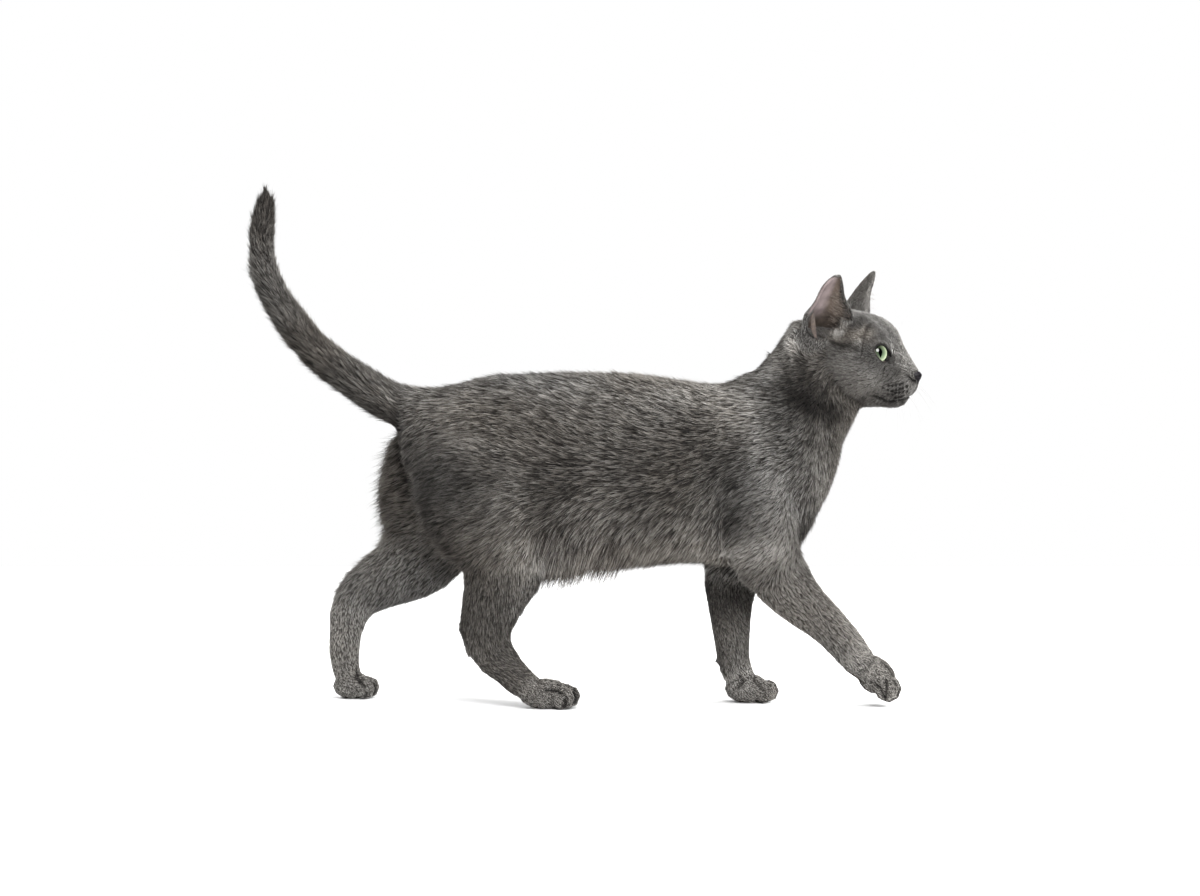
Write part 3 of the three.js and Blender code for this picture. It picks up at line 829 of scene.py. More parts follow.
def edge_push(side, share, across_share):
    """How far the front edge runs out onto the forehead, and the rear edge in near the tip, in mm."""
    push = FRONT_ROOT * smooth_step(0.75 - share, 0, 0.4)
    if side == "left":
        push = push - FAR_EDGE * smooth_step(share, 0.1, 0.35) * smooth_step(0.95 - share, 0, 0.5)
    rounded = TIP_ROUNDING[side] * faded(share - 0.86, 0.2)
    return push * smooth_step(across_share, 0.1, 0.9) - rounded * smooth_step(-across_share, 0.1, 0.9)


def ear_point(side, share, across_share, out):
    """A place on an ear: along it, across it from -1 behind to 1 in front, and out of it in mm."""
    root, along, facing, across = ear_frame(SIGN[side])
    bow = out - EAR["bow"] * math.sin(math.pi * share)
    aside = ear_half(share) * across_share - FLARE[side] * (1 - share)
    aside += float(edge_push(side, share, across_share))
    return on_head(*(root + along * share + facing * bow + across * aside))


inside = np.zeros(len(spots))
ear_share, ear_across = np.zeros(len(spots)), np.zeros(len(spots))
ear_move = np.zeros((len(spots), 3))
for side, sign in SIGN.items():
    root, along, facing, across = ear_frame(sign)
    reach = at_head - root
    share = np.clip(reach @ along / (along @ along), 0, 0.999)
    forward = reach @ facing + EAR["bow"] * np.sin(math.pi * share)
    aside = (reach @ across + FLARE[side] * (1 - share)) / ear_half(share)
    out = np.hypot(aside, forward / (EAR["depth"] * (1 - share) ** 0.8 + 1.2))
    height = reach @ along / (along @ along)
    near_ear = (height > 0.0) & (out < 1.25) & (height < 1.02)
    open_side = smooth_step(in_head_ways(normals) @ facing, -0.05, 0.25) * smooth_step(height, 0.17, 0.2)
    haired_rear = smooth_step(-0.55 - aside, 0, 0.2) * smooth_step(0.55 - share, 0, 0.15)
    haired = smooth_step(aside, 0.5, 0.8) + haired_rear
    bare_part = smooth_step(1.1 - out, 0, 0.08) * smooth_step(0.995 - share, 0, 0.04)
    bare_part = bare_part * np.clip(1 - haired, 0, 1)
    inside += near_ear * open_side * bare_part
    bowl = head_part & (height > 0.19) & (height < 0.42)  # the head's own skin in the cup
    bowl &= (np.abs(aside) < 0.92) & (np.abs(forward - 7) < 9)
    inside += bowl & (aside > -0.6) & (aside < 0.6)
    near_ear |= bowl
    push = near_ear * ~bowl * edge_push(side, share, aside)
    ear_move += push[:, None] * (across @ head_rows[:3, :3].T)
    cup_front = (near_ear & (aside > 0.3))[:, None] * open_side[:, None]
    combed = cup_front * unit(0.6 * along / np.linalg.norm(along) - across)
    lie = lie * (1 - cup_front) + combed @ head_rows[:3, :3].T
    ear_share = np.where(near_ear, share, ear_share)
    ear_across = np.where(near_ear, aside, ear_across)
inside = np.clip(evened(inside, 2), 0, 1)
lie = laid(evened(lie, 2))
spots = evened(spots + evened(ear_move, 2) * MM, 10, 0.4 * inside[:, None])
normals = normals_of(spots, faces)
print("points inside the ears:", int((inside > 0.5).sum()))

# %% [markdown]
# Grey fur is never one grey. The belly is warmer, and rows of dark dots mark the roots of the whiskers.
# Much of the rest is painted light and shade: broad bands over shoulder and haunch are painted lighter, and
# hollows, clefts and grooves are painted darker. The skin below carries the same markings as the hair: they
# are kept on the skin's points, and each tuft takes those at its root.

# %% The markings, with painted light and shade
# Mostly painted light and shade, with some of the coat's own colour: lighter bands are painted highlight
# where light falls on back, shoulder, haunch and the fold ridges; darker ones are painted shade in the folds'
# grooves and under the jaw.
BODY_MARKS_AND_PAINTED_LIGHT = [  # how much lighter, width in mm, and the line as x, z
    (0.17, 13, [(127, 230), (146, 199), (156, 171), (160, 144)]),
    (0.17, 12, [(118, 244), (134, 239)]),
    (0.12, 11, [(-90, 245), (-30, 248), (60, 247), (110, 244)]),
    (0.12, 12, [(-165, 245), (-150, 240)]),
    (-0.15, 10, [(-132, 118), (-124, 108)]),
    (0.22, 9, [(146, 262), (158, 276), (164, 290)]),
    (-0.08, 18, [(-130, 184), (-98, 178), (-62, 180)]),
    (0.22, 11, [(186, 192), (190, 172), (184, 160)]),
    (0.26, 11, [(98, 119), (130, 122), (156, 124)]),
    (0.16, 10, [(-14, 114), (10, 114)]),
    (0.12, 12, [(18, 160), (30, 160)]),
    (0.13, 16, [(-130, 237), (-102, 226), (-71, 202), (-54, 164), (-44, 117), (-48, 86)]),
    (0.07, 9, [(136, 179), (142, 156), (144, 133)]),
    (-0.09, 8, [(121, 210), (118, 179), (121, 148)]),
    (-0.20, 14, [(182, 152), (186, 115)]),
    (0.13, 11, [(212, 60), (222, 46)]),
    (0.14, 3.0, [(172, 303), (167, 294), (166, 284), (169, 272)]),
    (-0.12, 4, [(157, 275), (162, 262), (172, 245), (182, 235)]),
    (-0.28, 6, [(171, 243), (188, 237), (199, 231)]),
    (0.08, 4, [(98, 193), (102, 168), (107, 140), (113, 112)]),
    (-0.12, 4, [(108, 193), (112, 164), (116, 133)]),
    (-0.07, 7, [(-34, 164), (-29, 148), (-25, 126)]),
    (-0.12, 20, [(-150, 215), (-135, 180), (-120, 150), (-104, 118)]),
    (-0.06, 15, [(-70, 205), (-20, 198), (40, 195), (100, 190)]),
    (0.15, 16, [(-40, 122), (0, 124), (40, 124), (85, 130)]),
    (-0.16, 8, [(160, 244), (178, 238)]),
    (-0.24, 4.5, [(172, 274), (177, 258), (185, 244), (197, 235)]),
]
PART_TONE = {  # how much lighter or darker a whole part is
    "head": 0.09,
    "ear_right": 0.21,
    "ear_left": 0.06,
    "tail_base": -0.08,
    "tail_middle": -0.06,
    "tail_tip": -0.14,
    "front_right_upper_arm": 0.06,
    "front_right_forearm": 0.22,
    "front_left_forearm": 0.16,
    "front_right_paw": 0.5,
    "front_left_paw": 0.75,
    "hind_right_metatarsus": 0.1,
    "hind_right_paw": 0.4,
    "hind_left_shank": 0.2,
    "hind_left_metatarsus": 0.58,
    "hind_left_paw": 0.55,
}
# A painted highlight along the side of the nose bridge, from the inner brow down to the nose.
NOSE_BRIDGE_HIGHLIGHT = [(40.3, 11.4, 0), (42, 9.4, -4), (43.9, 8.4, -8)]
NOSE_BRIDGE_HIGHLIGHT += [(46.2, 7.7, -11.6), (48.8, 7.2, -14.6), (51, 6.4, -17)]
# Painted light and shade on the face, with some of its own colour: painted highlight along the brow ridge and
# the nose bridge, painted shade in the crease beside the nose and in the nostril slit, and a painted shadow
# line from the ear's root to the eye.
FACE_MARKS_AND_PAINTED_LIGHT = [  # the same on both sides of the head, in its own frame
    (0.18, 2.0, [(19, 8, 28), (24, 9.4, 26.8), (32.6, 14.5, 19.7), (37.7, 13.3, 13.2), (40.6, 10.7, 3.6)]),
    (0.26, 2.4, NOSE_BRIDGE_HIGHLIGHT),
    (0.16, 5.0, [(42, 5, 4), (45, 5, -5), (49, 4, -11), (54, 3, -17)]),
    (-0.14, 9.0, [(6, 24, 27), (18, 21, 25), (28, 20, 18)]),
    (-0.13, 12.0, [(24, 12, 26), (36, 9, 12)]),
    (0.24, 5.0, [(51, 0, -9), (53, 0, -13), (56, 0, -17)]),
    (0.16, 7.0, [(36, 16, -28), (50, 10, -26), (54, 5, -28)]),
    (0.08, 12.0, [(30, 24, -16), (44, 14, -20)]),
    # painted shade in the crease and the nostril slit
    (-0.26, 1.3, CREASE[:3]),
    (-0.7, 1.2, NOSTRIL_SLIT),
    # a painted shadow line from the ear's root to the eye's outer corner
    (-0.36, 2.0, [(-11, 34, 13), (0.5, 33, 9), (12, 31.3, 5.5), (20, 29, 2)]),
    (0.10, 4.0, [(50, 10, -24), (53, 6, -29)]),
]
TEMPLE = [(0, 29, 16), (16, 27, 14), (24, 23, 15)]  # the thinly haired strip from eye to ear
WHISKER_ROWS = [  # first and last root, x and z in the head's frame, and how many
    ((38.1, -26.1), (49.3, -24.3), 5),
    ((41, -30.1), (51.7, -27.1), 5),
    ((37.4, -33.2), (51.7, -31), 6),
    ((43.2, -35.9), (47.6, -35.2), 3),
    ((33.4, -27.4), (37.6, -29.2), 2),
]


def cloudy(places, size, seed):
    """Soft noise of about that size, one value a point."""
    shift = Vector((seed * 7.3, seed * 3.1, seed * 5.7))
    return np.array([noise.noise(Vector(p) / size + shift) for p in places])


side_view = spots[:, [0, 2]] / MM
tone = 0.06 * cloudy(spots, 45 * MM, 1) + 0.05 * cloudy(spots, 14 * MM, 2)
# painted light and shade in bands on the near side, with some of the coat's own colour
tone += banded(side_view, BODY_MARKS_AND_PAINTED_LIGHT) * near_side
tone += evened(np.array([PART_TONE.get(name, 0) for name in NODES])[label], 40)
# painted shade on the trunk's underside
tone -= 0.10 * smooth_step(-normals[:, 2], 0.3, 1.0) * where("torso")
# painted shadow on the upper part of the far foreleg
tone -= 0.24 * where("front_left_forearm") * smooth_step(spots[:, 2], 50 * MM, 90 * MM)
# painted light on faces turned up
tone += 0.06 * smooth_step(normals[:, 2], 0.2, 0.9)
tone -= 0.14 * where("tail_tip") * smooth_step(spots[:, 2], 0.34, 0.4)
tone = evened(tone, 6)
# painted rim light along the far ear's front edge
tone += 0.22 * smooth_step(ear_across, 0.82, 0.95) * where("ear_left")
# painted highlight and shade on the face, with some of its own colour
tone += banded(mirrored, FACE_MARKS_AND_PAINTED_LIGHT) * where("head", "neck")
# painted shade in the hollows of the head and the paws
hollow = np.sum((evened(spots, 5) - spots) * normals, axis=1) / MM
tone -= np.clip(hollow * 0.5, -0.08, 0.2) * head_part + np.clip(hollow, -0.1, 0.3) * where(*PAWS)
# painted shade in the toes' clefts
tone -= 0.45 * clefts
# The lips' own dark line, with painted shade in the groove under the nose and on the chin below the upper
# lip.
shade_below_lip = np.clip(-np.minimum(at_head[:, 2] + 37.5, 0) / 4, 0, 1) * faded(lip_far, 4.5)
lip_line_and_shade = 0.45 * faded(lip_far, 1.2) + 0.15 * faded(philtrum_far, 0.9) + 0.16 * shade_below_lip
tone -= lip_line_and_shade * head_part
tone -= 0.22 * np.exp(-np.maximum(lid_share - 1, 0) / 0.05)
temple = faded(line_reach(mirrored, TEMPLE), 7.5) * head_part
follicles = []
for (x0, z0), (x1, z1), count in WHISKER_ROWS:
    for i in range(count):
        x, z = x0 + (x1 - x0) * i / (count - 1), z0 + (z1 - z0) * i / (count - 1)
        for sign in (-1, 1):
            stray = dice.normal(0, 0.3, 2)
            follicles.append(cast_out(surface, (x - 3 + stray[0], 0, z + stray[1]), (0.25, sign, 0)))
dots = np.zeros(len(spots))
for place in follicles:
    apart = np.linalg.norm(at_head - np.array(place), axis=1)
    dots = np.maximum(dots, faded(apart, 0.8))
tone += 0.25 * evened(dots, 4) - 0.8 * dots + 0.14 * temple
warm = 0.5 + 0.5 * cloudy(spots, 60 * MM, 3)
warm += 0.5 * smooth_step(-normals[:, 2], 0.3, 1.0) * where("torso")
warm += 1.0 * temple - 0.3 * where("head", "ear")
swirl = cloudy(spots, 16 * MM, 4)
ruffle = cloudy(spots, 9 * MM, 5)
turned = np.cross(normals, lie)
lie = laid(lie + turned * (0.24 * swirl + 0.22 * ruffle)[:, None])
print(f"tones from {tone.min():.2f} to {tone.max():.2f}, whisker roots: {len(follicles)}")

# %% [markdown]
# The skin's material shows fur roots on most of it. In the ears it is bare: mauve over the thin rear part,
# browner ahead, and darkened down in the hollow as painted shade. The soles have black pads. How bright each
# bare place is goes with the point too.

# %% The skin's own look
SOLE = {name: (0, 0, -1) for name in PAWS} | {"front_right_paw": (-0.656, 0, -0.755)}  # where each faces
pads = np.zeros(len(spots))
for name, way in SOLE.items():
    pads += (label == NODES.index(name)) * smooth_step(normals @ np.array(way), 0.8, 0.9)
mauve = smooth_step(-ear_across, -0.25, 0.35) * smooth_step(ear_share, 0.25, 0.5)
# Bare skin's brightness: painted shade darkens the ear's cup down towards its root; it is also a little
# darker ahead, uneven, and set for the pads and the temple.
glow = 0.34 + 0.46 * smooth_step(ear_share, 0.2, 0.62) - 0.14 * smooth_step(ear_across, 0.1, 0.8)
glow += 0.12 * cloudy(spots, 5 * MM, 8)
glow = np.where(pads > 0.5, 0.3, glow)
bare = np.clip(inside + pads + 0.5 * temple, 0, 1)
mauve = np.clip(mauve + 0.5 * temple, 0, 1)
glow = np.where(temple > 0.1, 0.6, glow)


def keep(mesh, name, values):
    """Keeps a value on each point of a mesh, for its material to read."""
    mesh.attributes.new(name, "FLOAT", "POINT").data.foreach_set("value", np.asarray(values, np.float32))


def finished(piece, material):
    """Shades a piece smoothly, paints it, and has it stand with the cat."""
    piece.data.shade_smooth()
    piece.data.materials.append(material)
    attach(piece, "root")
    return piece


def haired_skin(material):
    """Skin below a dense coat: grey fur roots on most of it, bare skin in the ears and on the pads."""
    fuzz = grain(material, 900.0, detail=3.0, roughness=0.7)
    light = reckon(material, "ADD", read(material, "tone"), fuzz)
    fur = ramp(material, light, [(0.1, "#080707"), (1.0, "#312f2d")])
    veins = grain(material, 160.0, detail=4.0)
    brown = ramp(material, veins, [(0.3, "#463d37"), (0.7, "#665a51")])
    mauve = ramp(material, veins, [(0.3, "#695e5d"), (0.7, "#807473")])
    flesh = mixed(material, read(material, "mauve"), brown, mauve)
    # the bare flesh dimmed, with the painted shade in the ears' hollows
    dimmed = node(material, "VectorMath", {0: flesh, "Scale": read(material, "glow")}, operation="SCALE")
    return {
        "Base Color": mixed(material, read(material, "bare"), fur, dimmed.outputs["Vector"]),
        "Roughness": 0.7,
        "Specular IOR Level": 0.15,
        "Normal": rough(material, fuzz, 0.5, 0.4 * MM),
    }


skin.data.vertices.foreach_set("co", spots.astype(np.float32).ravel())
skin.data.update()
for name, values in (("tone", tone), ("bare", bare), ("glow", glow), ("mauve", mauve)):
    keep(skin.data, name, values)
skin.data.materials.clear()
finished(skin, new_material("skin_with_fur_roots", haired_skin))
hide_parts(*FLESH)
print("skin replaces", len(FLESH), "solids")

# %% [markdown]
# Each tuft stands for a lock of some dozens of hairs: a thin spike with three sides, rooted a little below
# the skin. One spike has four triangles, so many thousands can be drawn. They are made from arrays in one
# go, because a mesh operator for each would take minutes.

# %% How tufts are made
SINK = 0.05  # how far a tuft is rooted below the skin, as a share of its length
PATCH = 0.0015  # half the width of a tuft's patch on the map
MAP_EDGE = 0.003  # left free along each side of the map
ROOT_SHADE = 0.3  # a tuft's light at its root, as a share of its tip's
OVER_FLOOR = 0.1 * MM  # no hair comes nearer to the floor


def cell_map(roots, names):
    """Unrolls the roots: each part round its own long axis, in strips side by side."""
    flat = np.zeros((len(roots), 2))
    parts, counts = np.unique(names, return_counts=True)
    starts = np.concatenate([[0], np.cumsum(counts / counts.sum())])
    for part, start, wide in zip(parts, starts, np.diff(starts)):
        mine = names == part
        reach = roots[mine] - roots[mine].mean(0)
        slim, broad, along = (reach @ np.linalg.eigh(reach.T @ reach)[1]).T
        turn = np.arctan2(broad, slim) / (2 * math.pi) + 0.5
        flat[mine, 0] = start + wide * turn
        flat[mine, 1] = (along - along.min()) / max(np.ptp(along), MM)
    return MAP_EDGE + (1 - 2 * MAP_EDGE) * flat


def tuft_mesh(name, roots, normal, way, size, wide, lift, tips, flat):
    """A mesh of spikes. way and normal frame each one, lift is its rise, tips the light of its end."""
    count = len(roots)
    rise = lift[:, None]
    run = unit(way * np.cos(rise) + normal * np.sin(rise))
    side = unit(np.cross(normal, run))
    up = np.cross(run, side)
    base = roots - normal * (SINK * size)[:, None]
    girth = wide[:, None]
    verts = [base + side * girth * a + up * girth * b for a, b in ((0.5, 0), (-0.5, 0), (0, 0.42))]
    verts = np.stack([*verts, base + run * size[:, None]], axis=1)
    verts[:, :, 2] = np.maximum(verts[:, :, 2], OVER_FLOOR)
    shade = np.stack([tips * ROOT_SHADE] * 3 + [tips], axis=1)
    corner = [(math.cos(a), math.sin(a)) for a in (0, 2 * math.pi / 3, 4 * math.pi / 3)]
    tri, patch = [(0, 1, 2)], [((0.9, 0.0), (0.7, 0.1), (0.7, -0.1))]
    for a, b in ((0, 2), (2, 1), (1, 0)):
        tri.append((a, b, 3))
        patch.append((corner[a], corner[b], (0, 0)))
    tri = np.array(tri)
    index = (np.arange(count)[:, None, None] * 4 + tri[None]).reshape(-1)
    mesh = bpy.data.meshes.new(name)
    mesh.vertices.add(count * 4)
    mesh.vertices.foreach_set("co", verts.astype(np.float32).ravel())
    mesh.loops.add(len(index))
    mesh.loops.foreach_set("vertex_index", index.astype(np.int32))
    mesh.polygons.add(len(index) // 3)
    mesh.polygons.foreach_set("loop_start", np.arange(0, len(index), 3, dtype=np.int32))
    keep(mesh, "tint", shade.ravel())
    spread = flat[:, None, None, :] + PATCH * np.array(patch)[None]
    mesh.uv_layers.new(name="OFBake").data.foreach_set("uv", spread.astype(np.float32).ravel())
    mesh.update(calc_edges=True)
    return placed(name, mesh)


# %% [markdown]
# Real grey hair is dark at its root and pale near its tip, which gives the coat its silver sheen and its
# fine dark streaks. The tint runs along each tuft, and the markings with their painted light and shade, and a
# draw for each tuft, shift it.

# %% The coat's look
HAIR_STOPS = (0, 0.26, 0.48, 0.74, 1)  # where the shades stand, from black root to silver tip


def grey_hair(material):
    """Short dense hair: matt, a little silky along the tips, slate at the root and silver at the end."""
    tint = read(material, "tint")
    greys = ("#0b0b0a", "#2e2c2a", "#6b6a68", "#bab9b6", "#f0eeea")
    browns = ("#0c0b0a", "#322d29", "#706a62", "#bcb6ad", "#f0ebe3")
    cool, brown = (ramp(material, tint, list(zip(HAIR_STOPS, codes))) for codes in (greys, browns))
    colour = mixed(material, read(material, "warm"), cool, brown)
    return {"Base Color": colour, "Roughness": 0.5, "Specular IOR Level": 0.35}


grey_fur = new_material("short_grey_fur", grey_hair)

# %% [markdown]
# Roots are drawn over the skin's triangles, as many on each as its area asks for. None grows in the opening
# of the lids, on the nose, on the pads or in the line of the mouth. Hair gathers in small locks: each tuft
# leans towards the end of the nearest lock and shares its shade. One tuft in four is a guard hair, longer,
# paler and standing higher, and a few strays break the outline.

# %% The coat itself
FACE_NAMES = np.array(NODES)[label[faces[:, 0]]]
a, b, c = (spots[faces[:, k]] for k in range(3))
face_area = np.linalg.norm(np.cross(b - a, c - a), axis=1) / 2
face_middle = (a + b + c) / 3
bald = (lid_share[faces].mean(1) < 1.05) | (lip_far[faces].mean(1) < 0.45) | (slit_far[faces].mean(1) < 0.9)
bald |= pads[faces].mean(1) > 0.5
bald |= inside[faces].mean(1) > 0.5
nose_tree = tree_of(points_of(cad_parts["nose"].data))
near_nose = np.linalg.norm(face_middle - np.array(middle_of("nose")), axis=1) < 14 * MM
for number in np.flatnonzero(near_nose):
    bald[number] |= nose_tree.find(face_middle[number])[2] < 0.6 * MM
FEWER = 1.0
LOCKS = 60000
GUARD_SHARE, STRAY_SHARE = 0.26, 0.035
MEAN_LIGHT, FULL_LIGHT = 0.68, 1.35  # a tip's mean light, and the light at which it is white
TONE_GAIN = 1.3  # how strongly the markings and the painted light and shade show
lock_chance = face_area / width[faces].mean(1) ** 2
lock_face = dice.choice(len(faces), LOCKS, p=lock_chance / lock_chance.sum())
lock_at = face_middle[lock_face]
lock_long = length[faces[lock_face]].mean(1) * 0.95
lock_end = lock_at + unit(lie[faces[lock_face]].mean(1)) * lock_long[:, None]
lock_tone = dice.normal(0, 0.1, LOCKS)
lock_tree = tree_of(lock_at)
smoothness = where("head", "ear", "front", "hind_left", *PAWS) + 0.6 * where("tail", "hind_right")
smoothness = np.clip(evened(smoothness, 6), 0, 1)
hang = np.clip(low_belly * smooth_step(-normals[:, 2], -0.3, 0.5), 0, 1)


def fur(name, mine, count, longer=1.0, stand=0.0):
    """Covers some of the skin's faces with tufts. A fringe is longer and stands away, in radians."""
    count = int(count * FEWER)
    chance = face_area * mine * ~bald
    chosen = dice.choice(len(faces), count, p=chance / chance.sum())
    mix = np.sqrt(dice.random(count)), dice.random(count)
    weights = np.stack([1 - mix[0], mix[0] * (1 - mix[1]), mix[0] * mix[1]], axis=1)[:, :, None]
    corner = faces[chosen]

    def at(values):
        found = (values[corner].reshape(count, 3, -1) * weights).sum(1)
        return found[:, 0] if found.shape[1] == 1 else found

    roots, normal = at(spots), unit(at(normals))
    roots = roots + normal * (at(dots) * 0.55 * MM)[:, None]
    lock = np.array([lock_tree.find(root)[1] for root in roots])
    size = at(length) * dice.uniform(0.72, 1.2, count) * longer * (1 - 0.35 * at(temple))
    way = unit(at(lie) + dice.normal(0, 0.11, (count, 3)))
    lean = lock_end[lock] - roots
    way = unit(0.6 * way + 0.4 * unit(lean))
    way = unit(way - normal * (way * normal).sum(1, keepdims=True))
    kind = dice.random(count)
    guard, stray = kind < GUARD_SHARE, kind > 1 - STRAY_SHARE
    wide = at(width) * dice.uniform(0.8, 1.2, count) * np.where(guard, 1.25, 0.95)
    size = size * np.where(guard, 1.12, 1.0) * np.where(stray, 1.15, 1.0)
    lift = np.arcsin(np.clip(at(depth) / at(length), 0, 0.8)) * dice.uniform(0.5, 1.15, count) + 0.06
    lift = lift + 0.3 * at(dots) + stand * dice.uniform(0.3, 1, count)
    lift = lift * np.where(guard, 1.3, 0.85) + np.where(stray, 0.22, 0.0) + 0.12 * at(behind)
    down = at(hang)[:, None]
    way = unit(way * (1 - 0.6 * down) + np.array((-0.25, 0, -1)) * 0.75 * down)
    calm = 1 - 0.55 * at(smoothness)
    vary = lock_tone[lock] + dice.normal(0, 0.2, count) + np.where(guard, 0.14, -0.02)
    tips = MEAN_LIGHT + at(tone) * TONE_GAIN + calm * np.minimum(vary, 0.28)
    tips -= calm * np.where(dice.random(count) < 0.2, 0.4, 0.0)
    tips = np.clip(tips - 0.9 * at(dots), 0.03, FULL_LIGHT) / FULL_LIGHT
    flat = cell_map(roots, FACE_NAMES[chosen])
    piece = tuft_mesh(name, roots, normal, way, size, wide, lift, tips, flat)
    keep(piece.data, "warm", np.repeat(np.clip(at(warm) + dice.normal(0, 0.15, count), 0, 1), 4))
    piece.data.materials.append(grey_fur)
    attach(piece, "root")
    print(f"{name}: {count} tufts, one to {chance.sum() / MM**2 / count:.2f} mm2")


def starts(*names):
    """Which faces belong to solids whose names start so."""
    return np.any([np.char.startswith(FACE_NAMES, name) for name in names], axis=0)


face_up = normals[faces].mean(1)
torso = starts("torso")
top = torso & (face_up[:, 2] > 0.45)
across_head = face_middle @ head_rows[:3, 1] - head_rows[:3, 3] @ head_rows[:3, 1]
head_side = starts("head") & (across_head < 0)
paws = np.char.endswith(FACE_NAMES, "paw")
fur("coat_back", top, 28000)
fur("coat_right_flank", torso & ~top & (face_middle[:, 1] < 0), 49000)
fur("coat_left_flank", torso & ~top & (face_middle[:, 1] >= 0), 30000)
fur("coat_neck", starts("neck"), 35000)
fur("coat_ears", starts("ear"), 14000)
fur("coat_head_right", head_side, 46000)
fur("coat_head_left", starts("head") & ~head_side, 26000)
fur("coat_fore_legs", starts("front") & ~paws, 39000)
fur("coat_right_hind_leg", starts("hind_right") & ~paws, 35000)
fur("coat_left_hind_leg", starts("hind_left") & ~paws, 23000)
fur("coat_paws", paws, 25000)
fur("coat_tail", starts("tail"), 23000)
fringe = low_belly[faces].mean(1) * (np.abs(face_middle[:, 0] / MM + 3) < 38) > 0.5
fur("fringe_belly", fringe & (face_up[:, 2] < -0.3), 1100, longer=1.9, stand=0.3)
fur("fringe_thighs", behind[faces].mean(1) > 0.5, 1100, longer=1.35, stand=0.4)

# %% [markdown]
# The eyeball is a wet ball with a bulging clear front. It starts as a sphere whose pole faces along the
# eye's gaze, so that rings of points run round the pupil, and those near the pole are raised into the
# cornea's bulge. Both eyes look a little to the cat's right, so the right one turns out and the left one
# in.

# %% The eyes
GAZE = {"left": (12, 6), "right": (47, 6)}  # out and up, in degrees
CORNEA_HALF = math.radians(48)  # half the angle over which the clear front bulges
CORNEA_RISE = 0.045  # how far it bulges, as a share of the ball's radius
IRIS = 7.5 * MM
IRIS_STOPS = [(0.12, "#4c5846"), (0.34, "#5d6c55"), (0.6, "#738267"), (0.86, "#9ca58a"), (0.95, "#3f4a3a")]
IRIS_RIM = [(1, "#0a0a0b")]
LID_SHADE = [(0.0, "#303030"), (0.45, "#b4b4b4"), (1.0, "#ffffff")]  # the upper lid shades the ball below it
PUPIL_HALF, PUPIL_WIDE = 4.3 * MM, 1.8 * MM  # half its height, and its width at the middle


def green_eye(place):
    """The graph for an eyeball that stands so: its colours go by distance and turn from the eye's axis."""

    def graph(material):
        """A cat's iris: a green disc with fine rays, darker at its rim, and an upright slit of a pupil."""
        stand = {"Location": place.translation, "Rotation": place.to_euler()}
        stand["Vector"] = node(material, "TexCoord").outputs["Object"]
        here = node(material, "Mapping", stand, vector_type="TEXTURE")
        apart = node(material, "SeparateXYZ", {0: here.outputs["Vector"]})
        x, y = apart.outputs["X"], apart.outputs["Y"]
        flat = node(material, "CombineXYZ", {"X": x, "Y": y})
        reach = node(material, "VectorMath", {0: flat.outputs["Vector"]}, operation="LENGTH").outputs["Value"]
        share = reckon(material, "DIVIDE", reach, IRIS)
        polar = node(material, "CombineXYZ", {"X": reckon(material, "ARCTAN2", y, x), "Y": share})
        rays = node(material, "TexNoise", {"Vector": polar.outputs["Vector"], "Scale": 11.0, "Detail": 3.0})
        uneven = reckon(material, "ADD", rays.outputs["Fac"], -0.5)
        shade = reckon(material, "MULTIPLY_ADD", uneven, 0.4, share)
        lid_shade = ramp(material, read(material, "lit"), LID_SHADE)
        iris = mixed(material, 1.0, ramp(material, shade, IRIS_STOPS + IRIS_RIM), lid_shade, "MULTIPLY")
        high = reckon(material, "POWER", reckon(material, "DIVIDE", y, PUPIL_HALF), 2.0)
        wide = reckon(material, "MULTIPLY_ADD", y, 0.2, PUPIL_WIDE)
        side = reckon(material, "DIVIDE", reckon(material, "ABSOLUTE", x), wide)
        slit = ramp(material, reckon(material, "ADD", side, high), [(0.84, "#030303"), (1.05, "#ffffff")])
        return {
            "Base Color": mixed(material, 1.0, iris, slit, "MULTIPLY"),
            "Roughness": 0.5,
            "Specular IOR Level": 0.0,
            "Coat Weight": 1.0,
            "Coat Roughness": 0.08,
            "Coat IOR": 1.37,
        }

    return graph


for side, sign in SIGN.items():
    noseward, above, aim = eye_place(sign, *GAZE[side])
    turn = Matrix((noseward * sign, above, aim)).transposed()
    if turn.determinant() < 0:
        turn = Matrix((-noseward * sign, above, aim)).transposed()
    place = Matrix.Translation(EYES[side]) @ (HEAD_TURN @ turn).to_4x4()
    bm = bmesh.new()
    bmesh.ops.create_uvsphere(bm, u_segments=64, v_segments=48, radius=EYE_RADIUS)
    for vert in bm.verts:
        polar = math.acos(max(-1, min(1, vert.co.z / EYE_RADIUS)))
        bulge = max(0, 1 - (polar / CORNEA_HALF) ** 2)
        vert.co *= 1 + CORNEA_RISE * bulge * (2 - bulge)
    bmesh.ops.transform(bm, matrix=place, verts=bm.verts)
    wet_eye = new_material(f"wet_green_eye_{side}", green_eye(place))
    ball = finished(new_piece(f"eyeball_{side}", bm), wet_eye)
    noseward, above, aim = (np.array(HEAD_TURN @ v) for v in eye_place(sign))
    ways = (points_of(ball.data) - np.array(EYES[side])) / EYE_RADIUS
    keep(ball.data, "lit", np.clip(0.55 + ways @ noseward * 0.45 - ways @ above * 0.75, 0, 1))
    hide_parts(f"eye_{side}")
print("eyes at", [[round(v / MM) for v in eye] for eye in EYES.values()])

# %% [markdown]
# Cats have black, hairless lid margins, as thin as a pencil line. The margin is a closed ring of four loops
# that follows the almond between the lids over the ball. A ring can be bridged from loops, and each loop is
# the almond drawn a little larger and set at its own height above the ball. In the inner corner sits a
# small pink bead.

# %% The lids' margins
# Each loop's scale of the almond, and its height over the almond's edge in mm.
MARGIN = ((0.95, -1.35), (0.975, -0.1), (1.015, 0.1), (1.05, -0.6))


